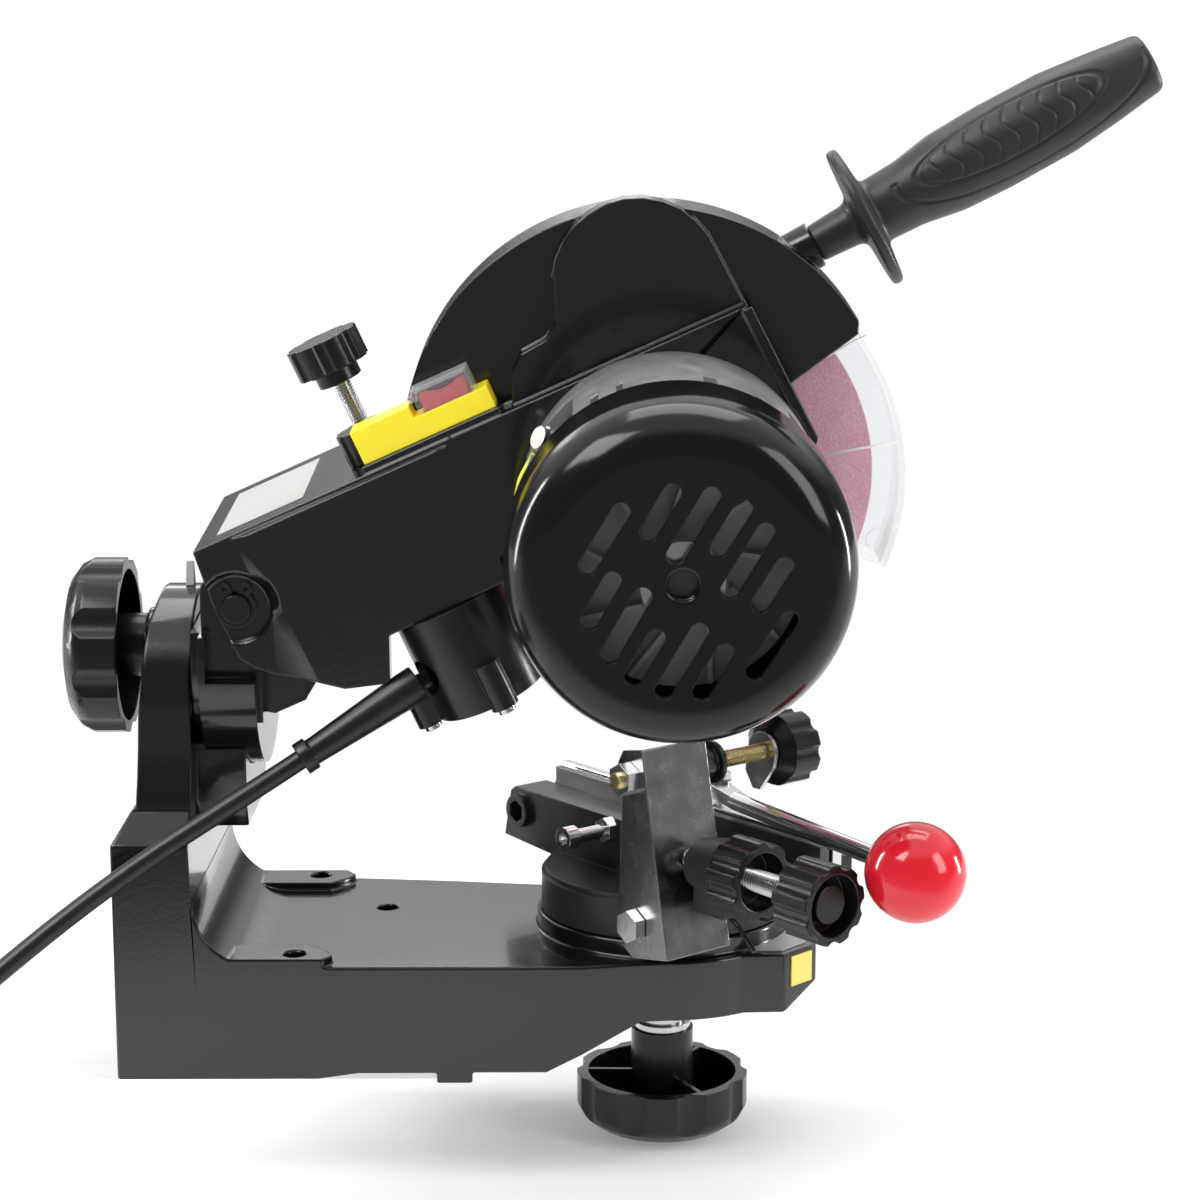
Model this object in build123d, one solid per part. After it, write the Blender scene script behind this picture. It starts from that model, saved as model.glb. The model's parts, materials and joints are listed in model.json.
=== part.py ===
# Bench-mounted electric chainsaw sharpener.
# A cast base carries a swivel bracket on a horizontal tilt axis. The motor head chops down on a
# pin through that bracket. A chain vise turns on the front of the base under the wheel.
#
# World frame: origin on the underside of the base, midway between the two rear bench holes,
# +X towards the operator's side, +Y away, +Z up. Millimetres.
# Three more frames are used, each with its own placing function:
#   head  the head before it is tilted, so the wheel stands upright in the XZ plane
#   arm   in the head frame, t along the arm's top, y as before, n square to the arm's top
#   vise  u along the rails towards the operator, v across them, z up
import os
from math import sin, cos, tan, radians, degrees, atan2, hypot, pi, sqrt
from build123d import *

os.makedirs("parts", exist_ok=True)

# ---------------------------------------------------------------- driving dimensions
# fits
RUN = 0.05                # running fit, radial
SEAT = 0.02               # fixed fit, radial, and the gap of a seated face
CLEAR = 0.3               # between pieces that pass each other

# axes
TILT_Z = 144.0            # height of the head's tilt axis, along X
TILT = 5.0                # head tilt at rest, motor side down, degrees
PIVOT_X, PIVOT_Z = -18.0, 169.0       # chop pivot in the head frame
WHEEL_X, WHEEL_Z = 130.7, 207.0       # spindle in the head frame
VISE_X = 130.0            # vise axis
VISE_TURN = 38.5          # vise angle at rest, degrees
SLOPE = 24.3              # slope of the arm's top, degrees
ARM_Z = 203.45            # height of the arm's top over x = 0 in the head frame

# base casting
BASE_REAR, BASE_NEAR, BASE_T = -62.0, 55.0, 40.5
FOOT_END = 8.0            # the flat foot ends here, towards the vise
POST_X0, POST_X1, POST_W = -54.0, -35.5, 39.0   # upright behind the head, half width
POST_ROUND_Z = 127.0      # centre of its round top
COVE_R = 24.0             # hollow between the upright and the base top
HOLE_Y, HOLE_R = 48.4, 3.75           # rear bench holes
THIRD_HOLE = (27.9, 16.4)
PAD_T = 3.1               # pads round the rear holes
FLOOR_R, FLOOR_Z = 46.0, 46.5         # round seat of the vise
FRONT, BEVEL = 8.0, 12.0              # the base ends this far past the seat, with cut corners
SCALE_T, SCALE_INSET = 0.6, 3.5
CAVITY_T = 7.0            # metal left over the hollow underside
RIB_T = 4.0
LUG_X0, LUG_X1, LUG_T = 49.5, 62.0, 1.8

# studs, pins and their knobs
STUD_R = 5.0
KNOB_R, KNOB_H, KNOB_STEM_R = 31.5, 21.5, 11.4
KNOB_LOBES = 9

# swivel bracket
DISC_X0, DISC_X1, DISC_R = -32.0, -12.5, 42.3
KNUCKLE_R, KNUCKLE_W = 13.0, 33.0

# head casting
NEAR_Y, FAR_Y, WALL = -42.0, 40.0, 7.0
ARM_END, END_WALL = 56.0, 4.0         # front end of the arm and its wall, which the depth screw passes
ROOF_T = 4.4
PANEL_Y = -45.0           # raised panel on the near wall
GUARD_X, GUARD_Z, GUARD_R = 123.5, 219.7, 84.6
GUARD_WALL = 3.5
GUARD_NEAR, GUARD_SPLIT, GUARD_FAR = -26.0, 0.0, 20.0
GUARD_LIP_R, GUARD_LIP, GUARD_BACK_R = 83.6, 3.0, 80.0   # flange and back of the far half
GUARD_SCREW_R = 77.0      # circle that the guard's screws stand on

# wheel and motor
WHEEL_R, WHEEL_T, WHEEL_BORE = 72.5, 3.2, 22.2
SHAFT_R = 6.0
BELL_R, BELL_WALL = 51.0, 4.0
BELL_END, CAP_END = -109.0, -153.5
CAP_R = 54.4
ROTOR_R, STATOR_BORE = 27.8, 28.5

# handle
HANDLE_RISE = 28.9        # degrees
HANDLE_AT, HANDLE_IN, HANDLE_Y = 55.0, 8.8, -9.0   # foot on the guard's rim: angle, depth and y
HANDLE_STUD_R = 4.0

# depth stop
DEPTH_T, DEPTH_Y, DEPTH_R = 32.3, -15.0, 3.0

# switch
SWITCH_T0, SWITCH_T1, SWITCH_Y0, SWITCH_Y1 = 31.0, 80.0, -40.0, -27.0
SWITCH_PAD, SWITCH_LOW, SWITCH_HIGH = 2.6, 10.6, 15.0

# terminal box
BOX_T, BOX_Y, BOX_R = 34.5, -29.0, 20.0
BOX_TOP, BOX_SEAM, BOX_BOTTOM = -53.5, -75.5, -91.0

# cord: the corners of its route in world, after the strain relief and as far as the coil
CORD_R = 3.5
GLAND, GLAND_R = (44.5, -39.6, 138.8), 6.5
ROUTE = [(-12.0, -55.0, 104.0), (-62.0, -69.0, 74.0), (-112.0, -94.0, 36.0), (-152.0, -112.0, 4.4),
         (-196.0, -117.7, 3.62)]
CORD_OUT = tuple((Vector(*ROUTE[0]) - Vector(*GLAND)).normalized())
RELIEF_LONG, CORD_HELD = 49.0, 9.0    # strain relief, and the length of cord that it grips
COIL_X, COIL_Y, COIL_R = -204.0, -75.5, 45.5
COIL_ACROSS, COIL_LAYERS, CORD_PITCH = 18.0, 4, 7.15
PLUG_R, PLUG_TAIL = 18.2, (-222.0, -14.1)

# vise
TABLE_R, TABLE_TOP = 44.4, 62.0
BAR_V0, BAR_V1, BAR_TOP = -20.0, 14.0, 81.6
RAIL_H, RAIL_V, SLOT = 6.6, 5.1, 1.6
RAIL_SEAT = 2.0
CAM_U, CAM_V, CAM_R, CAM_OFF = 15.0, 13.3, 6.2, 1.7
LEVER_Z, LEVER_R, BALL_R = 92.6, 3.2, 16.4
BOLT_R = 3.0
STOP_U, STOP_Z, STOP_LEAN = 45.0, 59.5, 11.0   # hinge bolt of the stop bracket
SHEET = 1.5
ADJUST_V, ADJUST_Z, ADJUST_R = -36.0, 83.0, 3.9

X_, Y_, Z_ = (1, 0, 0), (0, 1, 0), (0, 0, 1)
NODES = {}


# ---------------------------------------------------------------- helpers
def cyl(p, axis, r, h):
    """Cylinder from point p along axis."""
    return Plane(origin=p, z_dir=axis) * Cylinder(r, h, align=(Align.CENTER, Align.CENTER, Align.MIN))


def cone(p, axis, r0, r1, h):
    return Plane(origin=p, z_dir=axis) * Cone(r0, r1, h, align=(Align.CENTER, Align.CENTER, Align.MIN))


def on(p, d, s):
    """The point s along d from p."""
    return tuple(p[i] + d[i] * s for i in range(3))


def tube(p, axis, ro, ri, h):
    return cyl(p, axis, ro, h) - cyl(on(p, axis, -1), axis, ri, h + 2)


def box(x0, x1, y0, y1, z0, z1):
    return Pos((x0 + x1) / 2, (y0 + y1) / 2, (z0 + z1) / 2) * Box(x1 - x0, y1 - y0, z1 - z0)


def prism(points, step):
    """A closed polygon of 3-D points, moved along step."""
    face = Face(Wire.make_polygon([Vector(*p) for p in points], close=True))
    run = Vector(*step)
    return extrude(face, amount=run.length, dir=tuple(run.normalized()))


def slab(xz, y0, y1):
    """Prism of an XZ outline between two Y planes."""
    return prism([(x, y0, z) for x, z in xz], (0, y1 - y0, 0))


def plan(xy, z0, z1):
    """Prism of an XY outline between two heights."""
    return prism([(x, y, z0) for x, y in xy], (0, 0, z1 - z0))


def cross(yz, x0, x1):
    """Prism of a YZ outline between two X planes."""
    return prism([(x0, y, z) for y, z in yz], (x1 - x0, 0, 0))


def arc(cx, cz, r, a0, a1, n=12):
    """n + 1 points on a circle, from a0 to a1 degrees."""
    turns = [radians(a0 + (a1 - a0) * i / n) for i in range(n + 1)]
    return [(cx + r * cos(a), cz + r * sin(a)) for a in turns]


def spun(p, axis, profile):
    """Revolve (distance along axis, radius) points about the axis through p."""
    plane = Plane(origin=p, z_dir=axis)
    points = [(profile[0][0], 0)] + list(profile) + [(profile[-1][0], 0)]
    wire = Wire.make_polygon([plane.from_local_coords(Vector(r, 0, s)) for s, r in points], close=True)
    return revolve(Face(wire), axis=Axis(plane.origin, plane.z_dir), revolution_arc=360)


def around(p, axis, radius, count, first=0.0):
    """Placements on a circle about the axis, each turned to face outwards."""
    plane = Plane(origin=p, z_dir=axis)
    return [plane * Rot(0, 0, first + 360 / count * i) * Pos(radius, 0, 0) for i in range(count)]


def hexagon(p, axis, flats, h):
    return Plane(origin=p, z_dir=axis) * extrude(RegularPolygon(flats / sqrt(3), 6), amount=h)


def lobed(p, axis, r, h, count, scallop, out):
    """Round grip with scallops cut into its rim."""
    grip = cyl(p, axis, r, h)
    for place in around(p, axis, r + out, count):
        grip -= place * Pos(0, 0, h / 2) * Cylinder(scallop, h + 2)
    return grip


def bolt_circle(cx, cz, r, angles):
    return [(cx + r * cos(radians(a)), cz + r * sin(radians(a))) for a in angles]


def whole(shape):
    """The one solid of a result, without the crumbs that a cut can leave."""
    return max(shape.solids(), key=lambda s: s.volume)


def head(shape):
    """Head frame to world: the tilt at rest."""
    return Pos(0, 0, TILT_Z) * Rot(TILT, 0, 0) * Pos(0, 0, -TILT_Z) * shape


def arm(shape):
    """Arm frame to head frame."""
    return Pos(0, 0, ARM_Z) * Rot(0, -SLOPE, 0) * shape


def arm_point(t, y, n):
    s, c = sin(radians(SLOPE)), cos(radians(SLOPE))
    return (t * c - n * s, y, ARM_Z + t * s + n * c)


def arm_z(x):
    """Height of the arm's top over x in the head frame."""
    return ARM_Z + x * tan(radians(SLOPE))


def vise(shape):
    """Vise frame, modelled with x = v and y = -u, to world."""
    return Pos(VISE_X, 0, 0) * Rot(0, 0, VISE_TURN) * shape


def vise_box(u0, u1, v0, v1, z0, z1):
    return box(v0, v1, -u1, -u0, z0, z1)


def vise_slab(uz, v0, v1):
    """Prism of a (u, z) outline between two v planes."""
    return cross([(-u, z) for u, z in uz], v0, v1)


def vise_plan(uv, z0, z1):
    return plan([(v, -u) for u, v in uv], z0, z1)


def put(name, *shapes):
    NODES[name] = [solid for shape in shapes for solid in shape.solids()]


# ---------------------------------------------------------------- base
FRONT_X = VISE_X + FLOOR_R + FRONT
FRONT_W = FLOOR_R - 5


def base_casting():
    front = [(100, -BASE_NEAR), (118, -51.5), (130, -50), (146, -47), (150, -42),
             (FRONT_X - BEVEL, -FRONT_W), (FRONT_X, BEVEL - FRONT_W)]
    far = [(FRONT_X, FRONT_W - BEVEL), (FRONT_X - BEVEL, FRONT_W), (150, 42), (140, 44), (110, 46), (84, 46),
           (50, 51), (14, BASE_NEAR)]
    base = plan([(BASE_REAR, -BASE_NEAR)] + front + far + [(BASE_REAR, BASE_NEAR)], 0, BASE_T)
    base += cyl((VISE_X, 0, 0), Z_, FLOOR_R + 4, BASE_T)
    # rear wall, leaning in at its top, and the cove towards the vise
    wall_x = -34.5
    wall_top = 84.0
    base += slab([(BASE_REAR, 20), (BASE_REAR, wall_top), (-56, 94), (wall_x - 1, 94), (wall_x, 60), (wall_x, 20)],
                 -BASE_NEAR, BASE_NEAR)
    cove = box(wall_x, wall_x + COVE_R, -BASE_NEAR, BASE_NEAR, BASE_T, BASE_T + COVE_R)
    base += cove - cyl((wall_x + COVE_R, -BASE_NEAR - 1, BASE_T + COVE_R), Y_, COVE_R, 2 * BASE_NEAR + 2)
    # shoulders: the rear wall narrows to the upright
    for side in (-1, 1):
        base -= cross([(side * (BASE_NEAR + 1), 82), (side * BASE_NEAR, 84), (side * 49, 90), (side * 42.5, 96),
                       (side * 42.5, 120), (side * 60, 120)], BASE_REAR - 1, -20)
    # upright with a round top, its back leaning in
    sides = [(-42.5, 80), (-42.5, 96), (-40, 105), (-POST_W, 115), (-POST_W, POST_ROUND_Z)]
    top = arc(0, POST_ROUND_Z, POST_W, 180, 0, 18)
    post = cross(sides + top[1:-1] + [(-y, z) for y, z in reversed(sides)], POST_X0 - 1, POST_X1)
    post -= slab([(-60, 94), (POST_X0 - 0.8, 94), (POST_X0 + 0.4, 126), (-51.8, 150), (-51, 157), (-48.6, 166),
                  (-48.6, 172), (-60, 172)], -60, 60)
    base += post
    base += cyl((POST_X0 - 0.6, 0, TILT_Z), X_, 13.5, 6)
    # cradle under the swivel bracket's disc
    cradle = cross([(-24, 83), (24, 83), (29, 92), (29, 116), (-29, 116), (-29, 92)], POST_X1 - 1, -17.8)
    base += cradle - cyl((-60, 0, TILT_Z), X_, DISC_R + CLEAR, 80)
    # round seat of the vise
    base += cyl((VISE_X, 0, 30), Z_, FLOOR_R, FLOOR_Z - 30)
    # pads round the rear bench holes
    for side in (-1, 1):
        base += plan([(-30, side * 38), (5, side * 38), (11, side * 44), (13.5, side * 50),
                      (10.5, side * BASE_NEAR), (-30, side * BASE_NEAR)], BASE_T - 2, BASE_T + PAD_T)
    # the underside rises towards the operator
    base -= slab([(84, -5), (84, 0), (121, 19), (FRONT_X - BEVEL, 19), (FRONT_X, 27), (FRONT_X + 16, 27),
                  (FRONT_X + 16, -5)], -70, 70)
    base -= slab([(FOOT_END, -5), (FOOT_END, 0), (22, 2), (90, 2), (90, -5)], -70, 70)
    # hollow underside with two ribs and the bosses of the bench holes
    roof = BASE_T - CAVITY_T
    hollow = box(BASE_REAR + 7, 76, -48, 48, -1, roof)
    for x in (-20, 36):
        hollow -= box(x - RIB_T / 2, x + RIB_T / 2, -50, 50, -2, roof + 1)
    holes = [(0, -HOLE_Y), (0, HOLE_Y), THIRD_HOLE]
    for x, y in holes:
        hollow -= cyl((x, y, -2), Z_, HOLE_R + 6.25, roof + 4)
    base -= hollow
    base -= cyl((VISE_X, 0, -5), Z_, 38, 39) - cyl((VISE_X, 0, -5), Z_, 16, 60)
    # lug that meets the edge of the bench
    base += box(LUG_X0, LUG_X1, -BASE_NEAR, -44, -LUG_T, 4) + box(LUG_X0, LUG_X1, 44, 50, -LUG_T, 4)
    for x, y in holes:
        base -= cyl((x, y, -5), Z_, HOLE_R, 60)
    base -= cyl((VISE_X, 0, 0), Z_, STUD_R + RUN, 60)
    base -= cyl((-60, 0, TILT_Z), X_, STUD_R + RUN, 50)
    return whole(base)


put("base_casting", base_casting())
POST_TOP = POST_ROUND_Z + POST_W
put("tilt_pointer", cross([(-3.5, POST_TOP - 3), (3.5, POST_TOP - 3), (0, POST_TOP + 8.5)],
                          POST_X1 - 5.5, POST_X1 - 2.7)
    - cyl((POST_X0 - 6, 0, POST_ROUND_Z), X_, POST_W + SEAT, 60))
plate_x, plate_w = FRONT_X - SCALE_INSET, FRONT_W - SCALE_INSET
put("scale_plate", plan([(VISE_X + 30, -plate_w), (plate_x - BEVEL + 2.5, -plate_w), (plate_x, 10 - plate_w),
                         (plate_x, plate_w - 10), (plate_x - BEVEL + 2.5, plate_w), (VISE_X + 30, plate_w)],
                        BASE_T + SEAT, BASE_T + SCALE_T) - cyl((VISE_X, 0, 30), Z_, FLOOR_R + CLEAR, 30))
HALF = cos(pi / 4)
put("front_plate", Plane(origin=(FRONT_X - BEVEL / 2 + SEAT, BEVEL / 2 - FRONT_W - SEAT, 33.5),
                         z_dir=(HALF, -HALF, 0), x_dir=(HALF, HALF, 0))
    * Box(11, 11, 0.5, align=(Align.CENTER, Align.CENTER, Align.MIN)))


# ---------------------------------------------------------------- swivel bracket
def swivel_bracket():
    b = cyl((DISC_X0, 0, TILT_Z), X_, DISC_R, DISC_X1 - DISC_X0)
    b += cyl((POST_X1 + CLEAR, 0, TILT_Z), X_, 36, DISC_X0 - POST_X1)
    b -= box(-60, 0, -60, 60, 158, 220)
    # flanks cut back so that the cheeks of the head swing clear of the disc
    for side in (-1, 1):
        b -= box(-29.5, 0, side * 34.3 if side > 0 else -60, 60 if side > 0 else -34.3, 142, 220)
    b += box(POST_X1 + 4, -11, -KNUCKLE_W, KNUCKLE_W, 125, 158)
    b += slab([(-31.5, 150), (-31.5, 172), (-29, 179), (-24, 181)] + arc(PIVOT_X, PIVOT_Z, KNUCKLE_R, 90, -60, 8)
              + [(-11, 150)], -KNUCKLE_W, KNUCKLE_W)
    # web and arm under the depth screw
    b += slab([(-13, 126), (-8, 125), (3, 130), (8, 140), (-13, 160)], -22, 10)
    b += slab([(-12, 150), (-12, 160), (-4, 163), (30, 171), (47, 171), (47, 166), (20, 158), (4, 132)], -22, -9)
    b -= cyl((PIVOT_X, -40, PIVOT_Z), Y_, STUD_R + RUN, 80)
    b -= cyl((-60, 0, TILT_Z), X_, STUD_R + SEAT, 42)
    # gap for the return spring
    b -= box(-28.5, -6, -8, 8, 158.5, 190)
    return whole(b)


def round_knob(p, axis, first):
    """Hollow lobed knob with a stem; its closed face starts at p."""
    k = spun(p, axis, [(0, 8), (0.6, 17), (2.6, 25), (6, 29.5), (10, KNOB_R), (KNOB_H, KNOB_R)])
    for place in around(p, axis, KNOB_R + 7.3, KNOB_LOBES, first):
        k -= place * Cylinder(9.5, 120)
    k -= cyl(on(p, axis, 6), axis, KNOB_R - 4.2, KNOB_H)
    return k


put("swivel_bracket", head(swivel_bracket()))
put("tilt_stud", head(cyl((-74, 0, TILT_Z), X_, STUD_R, 55)))
tilt_knob = round_knob((-83.8, 0, TILT_Z), X_, 20)
tilt_knob += cyl((-78.5, 0, TILT_Z), X_, KNOB_STEM_R, -55.3 + 78.5)
put("tilt_lock_knob", head(whole(tilt_knob - cyl((-75, 0, TILT_Z), X_, STUD_R + RUN, 40))))

PIN_NEAR, PIN_FAR = -43.4, 43.0
put("pivot_pin", head(cyl((PIVOT_X, PIN_NEAR, PIVOT_Z), Y_, STUD_R, PIN_FAR - PIN_NEAR)))


def circlip(y):
    """Snap ring with two plier eyes."""
    ring = cyl((PIVOT_X, y, PIVOT_Z), Y_, 7.2, 1.0)
    for a in (62, 118):
        eye = on((PIVOT_X, y, PIVOT_Z), (cos(radians(a)), 0, sin(radians(a))), 7.8)
        ring += cyl(eye, Y_, 2.2, 1.0)
        ring -= cyl(on(eye, Y_, -1), Y_, 0.8, 3)
    ring -= slab([(PIVOT_X, PIVOT_Z), (PIVOT_X - 2.4, PIVOT_Z + 12), (PIVOT_X + 2.4, PIVOT_Z + 12)], y - 1, y + 2)
    return whole(ring - cyl((PIVOT_X, y - 1, PIVOT_Z), Y_, STUD_R + SEAT, 4))


SPOT_Y = NEAR_Y + 1.6     # floor of the spot face round the pin
put("retaining_rings", head(circlip(SPOT_Y - 1.05)), head(circlip(FAR_Y + 0.05)))
put("return_spring", head(tube((PIVOT_X, -7.6, PIVOT_Z), Y_, 8.4, STUD_R + 0.12, 15.2)))

# ---------------------------------------------------------------- head casting
CHEEK = [(-28.5, 178), (-27, 172), (-23.5, 163), (-17.2, 150.7), (-12, 147.4), (-5, 145.2), (10, 143.2),
         (19, 141), (34.5, 143), (34.5, 160), (ARM_END, 170.1)]
HANDLE_FOOT = (GUARD_X + (GUARD_R - HANDLE_IN) * cos(radians(HANDLE_AT)), HANDLE_Y,
               GUARD_Z + (GUARD_R - HANDLE_IN) * sin(radians(HANDLE_AT)))
HANDLE_DIR = (cos(radians(HANDLE_RISE)), 0, sin(radians(HANDLE_RISE)))
ARM_N = (-sin(radians(SLOPE)), 0, cos(radians(SLOPE)))
DEPTH_P = arm_point(DEPTH_T, DEPTH_Y, 0)
GUARD_SCREWS = bolt_circle(GUARD_X, GUARD_Z, GUARD_SCREW_R, (40, 75, 118, 160))
MOUNT = [(92, 172), (114, 160), (146, 160), (166, 176), (178, 200), (178, 229), (155, 273)]
# the guard is open below this line, from the arm to the clear guard
OPEN_LINE = [(226, 284.5), (178, 248.5), (172, 244)]
PEG = (176.0, 256.0)      # foot that the clear guard seats on


def guard_area():
    """XZ outline of what the guard covers."""
    end = ARM_END - END_WALL
    left = [(end, arm_z(end) - 2), (28, arm_z(28) + 0.2), (28, 330), (194.6, 330), (194.6, 261)]
    return left + OPEN_LINE[1:] + [(178, 229), (150, 190), (60, 190), (end, 200)]


def head_casting():
    h = slab([(-32, arm_z(-32)), (ARM_END, arm_z(ARM_END))] + CHEEK[::-1], NEAR_Y, FAR_Y)
    end = ARM_END - END_WALL
    inside = [(-40, 120), (-40, 181), (-29, 181), (-29, arm_z(-29) - ROOF_T), (end, arm_z(end) - ROOF_T), (end, 120)]
    h -= slab(inside, NEAR_Y + WALL, FAR_Y - 5)
    # motor mount: the near wall runs on behind the bell
    mount = [(50, 166), (50, arm_z(50))]
    h += slab(mount + [(77, 238), (155, 273)] + MOUNT[::-1][1:] + [(80, 182)], NEAR_Y, -30)
    h += slab(mount + [(60, arm_z(60)), (155, 273)] + MOUNT[::-1][1:] + [(80, 182)], -31, -22)
    # guard over the wheel: plate and rim
    guard = cyl((GUARD_X, GUARD_NEAR, GUARD_Z), Y_, GUARD_R, GUARD_SPLIT - GUARD_NEAR)
    guard -= cyl((GUARD_X, GUARD_NEAR + 4, GUARD_Z), Y_, GUARD_R - GUARD_WALL, 40)
    guard = guard & slab(guard_area(), GUARD_NEAR - 4, GUARD_SPLIT + 6)
    h += guard
    # raised cover of the drive, with a round top
    cover = [(77, 236), (77, 249), (80, 255.5), (88, 260), (92, 266), (91.5, 281)] + arc(119.2, 279, 29, 176, 22, 12)
    cover = slab(cover + [(155, 273), (155, 262)], -33.5, -24)
    h += cover & slab([(60, 228), (77, 238), (155, 273), (170, 280), (170, 330), (60, 330)], -60, 10)
    # rib down the open side of the mount
    rib = slab([(153.5, 272), (157, 273.6), (180, 229), (178, 222), (176, 228)], -45, NEAR_Y + 1)
    h += rib - cyl((WHEEL_X, -60, WHEEL_Z), Y_, BELL_R + CLEAR, 30)
    # raised panel with sloping ends on the near wall
    panel = arm(prism([(-20.9, NEAR_Y + 1, -120), (-20.9, NEAR_Y, -120), (-15.4, PANEL_Y, -120), (53, PANEL_Y, -120),
                       (59, NEAR_Y, -120), (59, NEAR_Y + 1, -120)], (0, 0, 118.4)))
    area = [(-32, arm_z(-32)), (66, arm_z(66)), (92, 205), (80, 182)] + CHEEK[::-1]
    h += panel & slab(area, PANEL_Y - 1, NEAR_Y + 1)
    # boss of the handle
    h += cyl(HANDLE_FOOT, HANDLE_DIR, 8.2, 15.5)
    h -= cyl((WHEEL_X, -22, WHEEL_Z), Y_, WHEEL_R + 4, 70)
    # chop pivot: bore and a spot face that runs out at the bottom
    h -= cyl((PIVOT_X, -60, PIVOT_Z), Y_, STUD_R + RUN, 120)
    h -= cone((PIVOT_X, PANEL_Y - 0.6, PIVOT_Z), Y_, 16.6, 11.4, SPOT_Y - PANEL_Y + 0.6)
    # seat of the front bearing
    h -= cyl((WHEEL_X, -45, WHEEL_Z), Y_, 15.0, 40)
    # switch: pad, opening and wire way
    h += arm(box(SWITCH_T0 - 1.2, SWITCH_T1 + 0.8, SWITCH_Y0 - 1, SWITCH_Y1 + 0.6, -0.5, SWITCH_PAD))
    h -= arm(box(SWITCH_T0 + 4, 48, SWITCH_Y0 + 4.5, SWITCH_Y1 - 2, -8, 8))
    # boss and bore of the depth screw
    h += cyl(on(DEPTH_P, ARM_N, -16), ARM_N, 8, 14)
    h -= cyl(on(DEPTH_P, ARM_N, -30), ARM_N, DEPTH_R + RUN, 40)
    h -= cyl(on(HANDLE_FOOT, HANDLE_DIR, -2), HANDLE_DIR, HANDLE_STUD_R + SEAT, 40)
    for x, z in GUARD_SCREWS:
        boss = cyl((x, GUARD_NEAR + 2, z), Y_, 5, GUARD_SPLIT - GUARD_NEAR - 2)
        h += boss & cyl((GUARD_X, -30, GUARD_Z), Y_, GUARD_R - 1, 60)
        h -= cyl((x, -14, z), Y_, 2 + SEAT, 30)
    below_guard = slab([(40, 100), (40, 255), (180, 255), (180, 100)], -30, 50)
    h -= cyl((WHEEL_X, -21.9, WHEEL_Z), Y_, WHEEL_R + 3.5, 70) & below_guard
    # foot of the clear guard
    h += cyl((PEG[0], -23, PEG[1]), Y_, 4, 23 - 13 - SEAT)
    return whole(h)


def outer_guard():
    g = cyl((GUARD_X, GUARD_SPLIT + SEAT, GUARD_Z), Y_, GUARD_LIP_R, GUARD_LIP)
    g += cyl((GUARD_X, GUARD_SPLIT + SEAT, GUARD_Z), Y_, GUARD_BACK_R, GUARD_FAR - GUARD_SPLIT - SEAT)
    g -= cyl((GUARD_X, GUARD_SPLIT - 5, GUARD_Z), Y_, GUARD_BACK_R - 3, GUARD_FAR - GUARD_SPLIT + 2)
    end = ARM_END + CLEAR
    left = [(end, 190), (end, arm_z(end) + CLEAR), (28, arm_z(28) + CLEAR), (28, 330), (226, 330)]
    g = g & slab(left + OPEN_LINE + [(150, 190)], 0, 40)
    for x, z in GUARD_SCREWS:
        g += cyl((x, GUARD_SPLIT + SEAT, z), Y_, 5, 14) & cyl((GUARD_X, -30, GUARD_Z), Y_, GUARD_LIP_R, 60)
        g -= cyl((x, GUARD_SPLIT - 5, z), Y_, 2.12, 40)
    return whole(g)


def clear_guard():
    rim = arc(WHEEL_X, WHEEL_Z, 83, -22, 40, 12)
    outside = rim + [(188, 262), (171, 262), (169, 252), (172.5, 243.5), (184, 213), (200, 178.5)]
    inside = arc(WHEEL_X, WHEEL_Z, 81, -26, 46, 14) + [(160, 270), (150, 243.5), (180, 210), (196, 172)]
    g = slab(outside, -13, 13) - slab(inside, -11, 11)
    # kept inside the casting's rim, and off its screw boss
    above = slab([(168, 240.2), (240, 294.2), (240, 340), (168, 340)], -20, 20)
    g -= above - cyl((GUARD_X, -30, GUARD_Z), Y_, GUARD_R - GUARD_WALL - CLEAR, 60)
    far_half = slab([(168, 238.7), (240, 292.7), (240, 340), (168, 340)], GUARD_SPLIT - CLEAR, 20)
    g -= far_half - cyl((GUARD_X, -30, GUARD_Z), Y_, GUARD_BACK_R - 3 - CLEAR, 60)
    g -= cyl((GUARD_SCREWS[0][0], -30, GUARD_SCREWS[0][1]), Y_, 5 + CLEAR, 60)
    # eye at the lower corner
    g += cyl((204.5, -15, 186), Y_, 4.2, 2.2)
    return whole(g)


put("head_casting", whole(head(head_casting()) - cyl(on(GLAND, CORD_OUT, -12), CORD_OUT, GLAND_R + CLEAR, 60)))
put("outer_guard", head(outer_guard()))
put("m4_screws", *[head(cyl((x, -12, z), Y_, 2.0, GUARD_FAR + 12.1) + cyl((x, GUARD_FAR + RUN, z), Y_, 3.9, 2.4))
                   for x, z in GUARD_SCREWS])
put("clear_guard", head(clear_guard()))
put("head_label", head(arm(box(-27, 13, -33, 29, SEAT, 0.4))))


# ---------------------------------------------------------------- switch
def switch_housing():
    s = box(SWITCH_T0, SWITCH_T1, SWITCH_Y0, SWITCH_Y1, SWITCH_PAD + SEAT, SWITCH_HIGH)
    s -= box(53, SWITCH_T1 + 1, SWITCH_Y0 - 1, SWITCH_Y1 + 1, SWITCH_LOW, SWITCH_HIGH + 1)
    s -= box(SWITCH_T0 + 2, SWITCH_T1 - 2, SWITCH_Y0 + 1.6, SWITCH_Y1 - 1.6, 0, SWITCH_LOW - 1.6)
    s -= box(56.6, 74.6, SWITCH_Y0 + 1.6, SWITCH_Y1 - 1.6, 0, SWITCH_LOW + 1)
    return whole(s)


def switch_rocker():
    r = box(57.4, 73.4, SWITCH_Y0 + 2.2, SWITCH_Y1 - 2.2, 7.2, 15.9)
    r -= cyl((65.4, SWITCH_Y0 - 1, 27.4), Y_, 13, 20)
    return whole(r)


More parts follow.
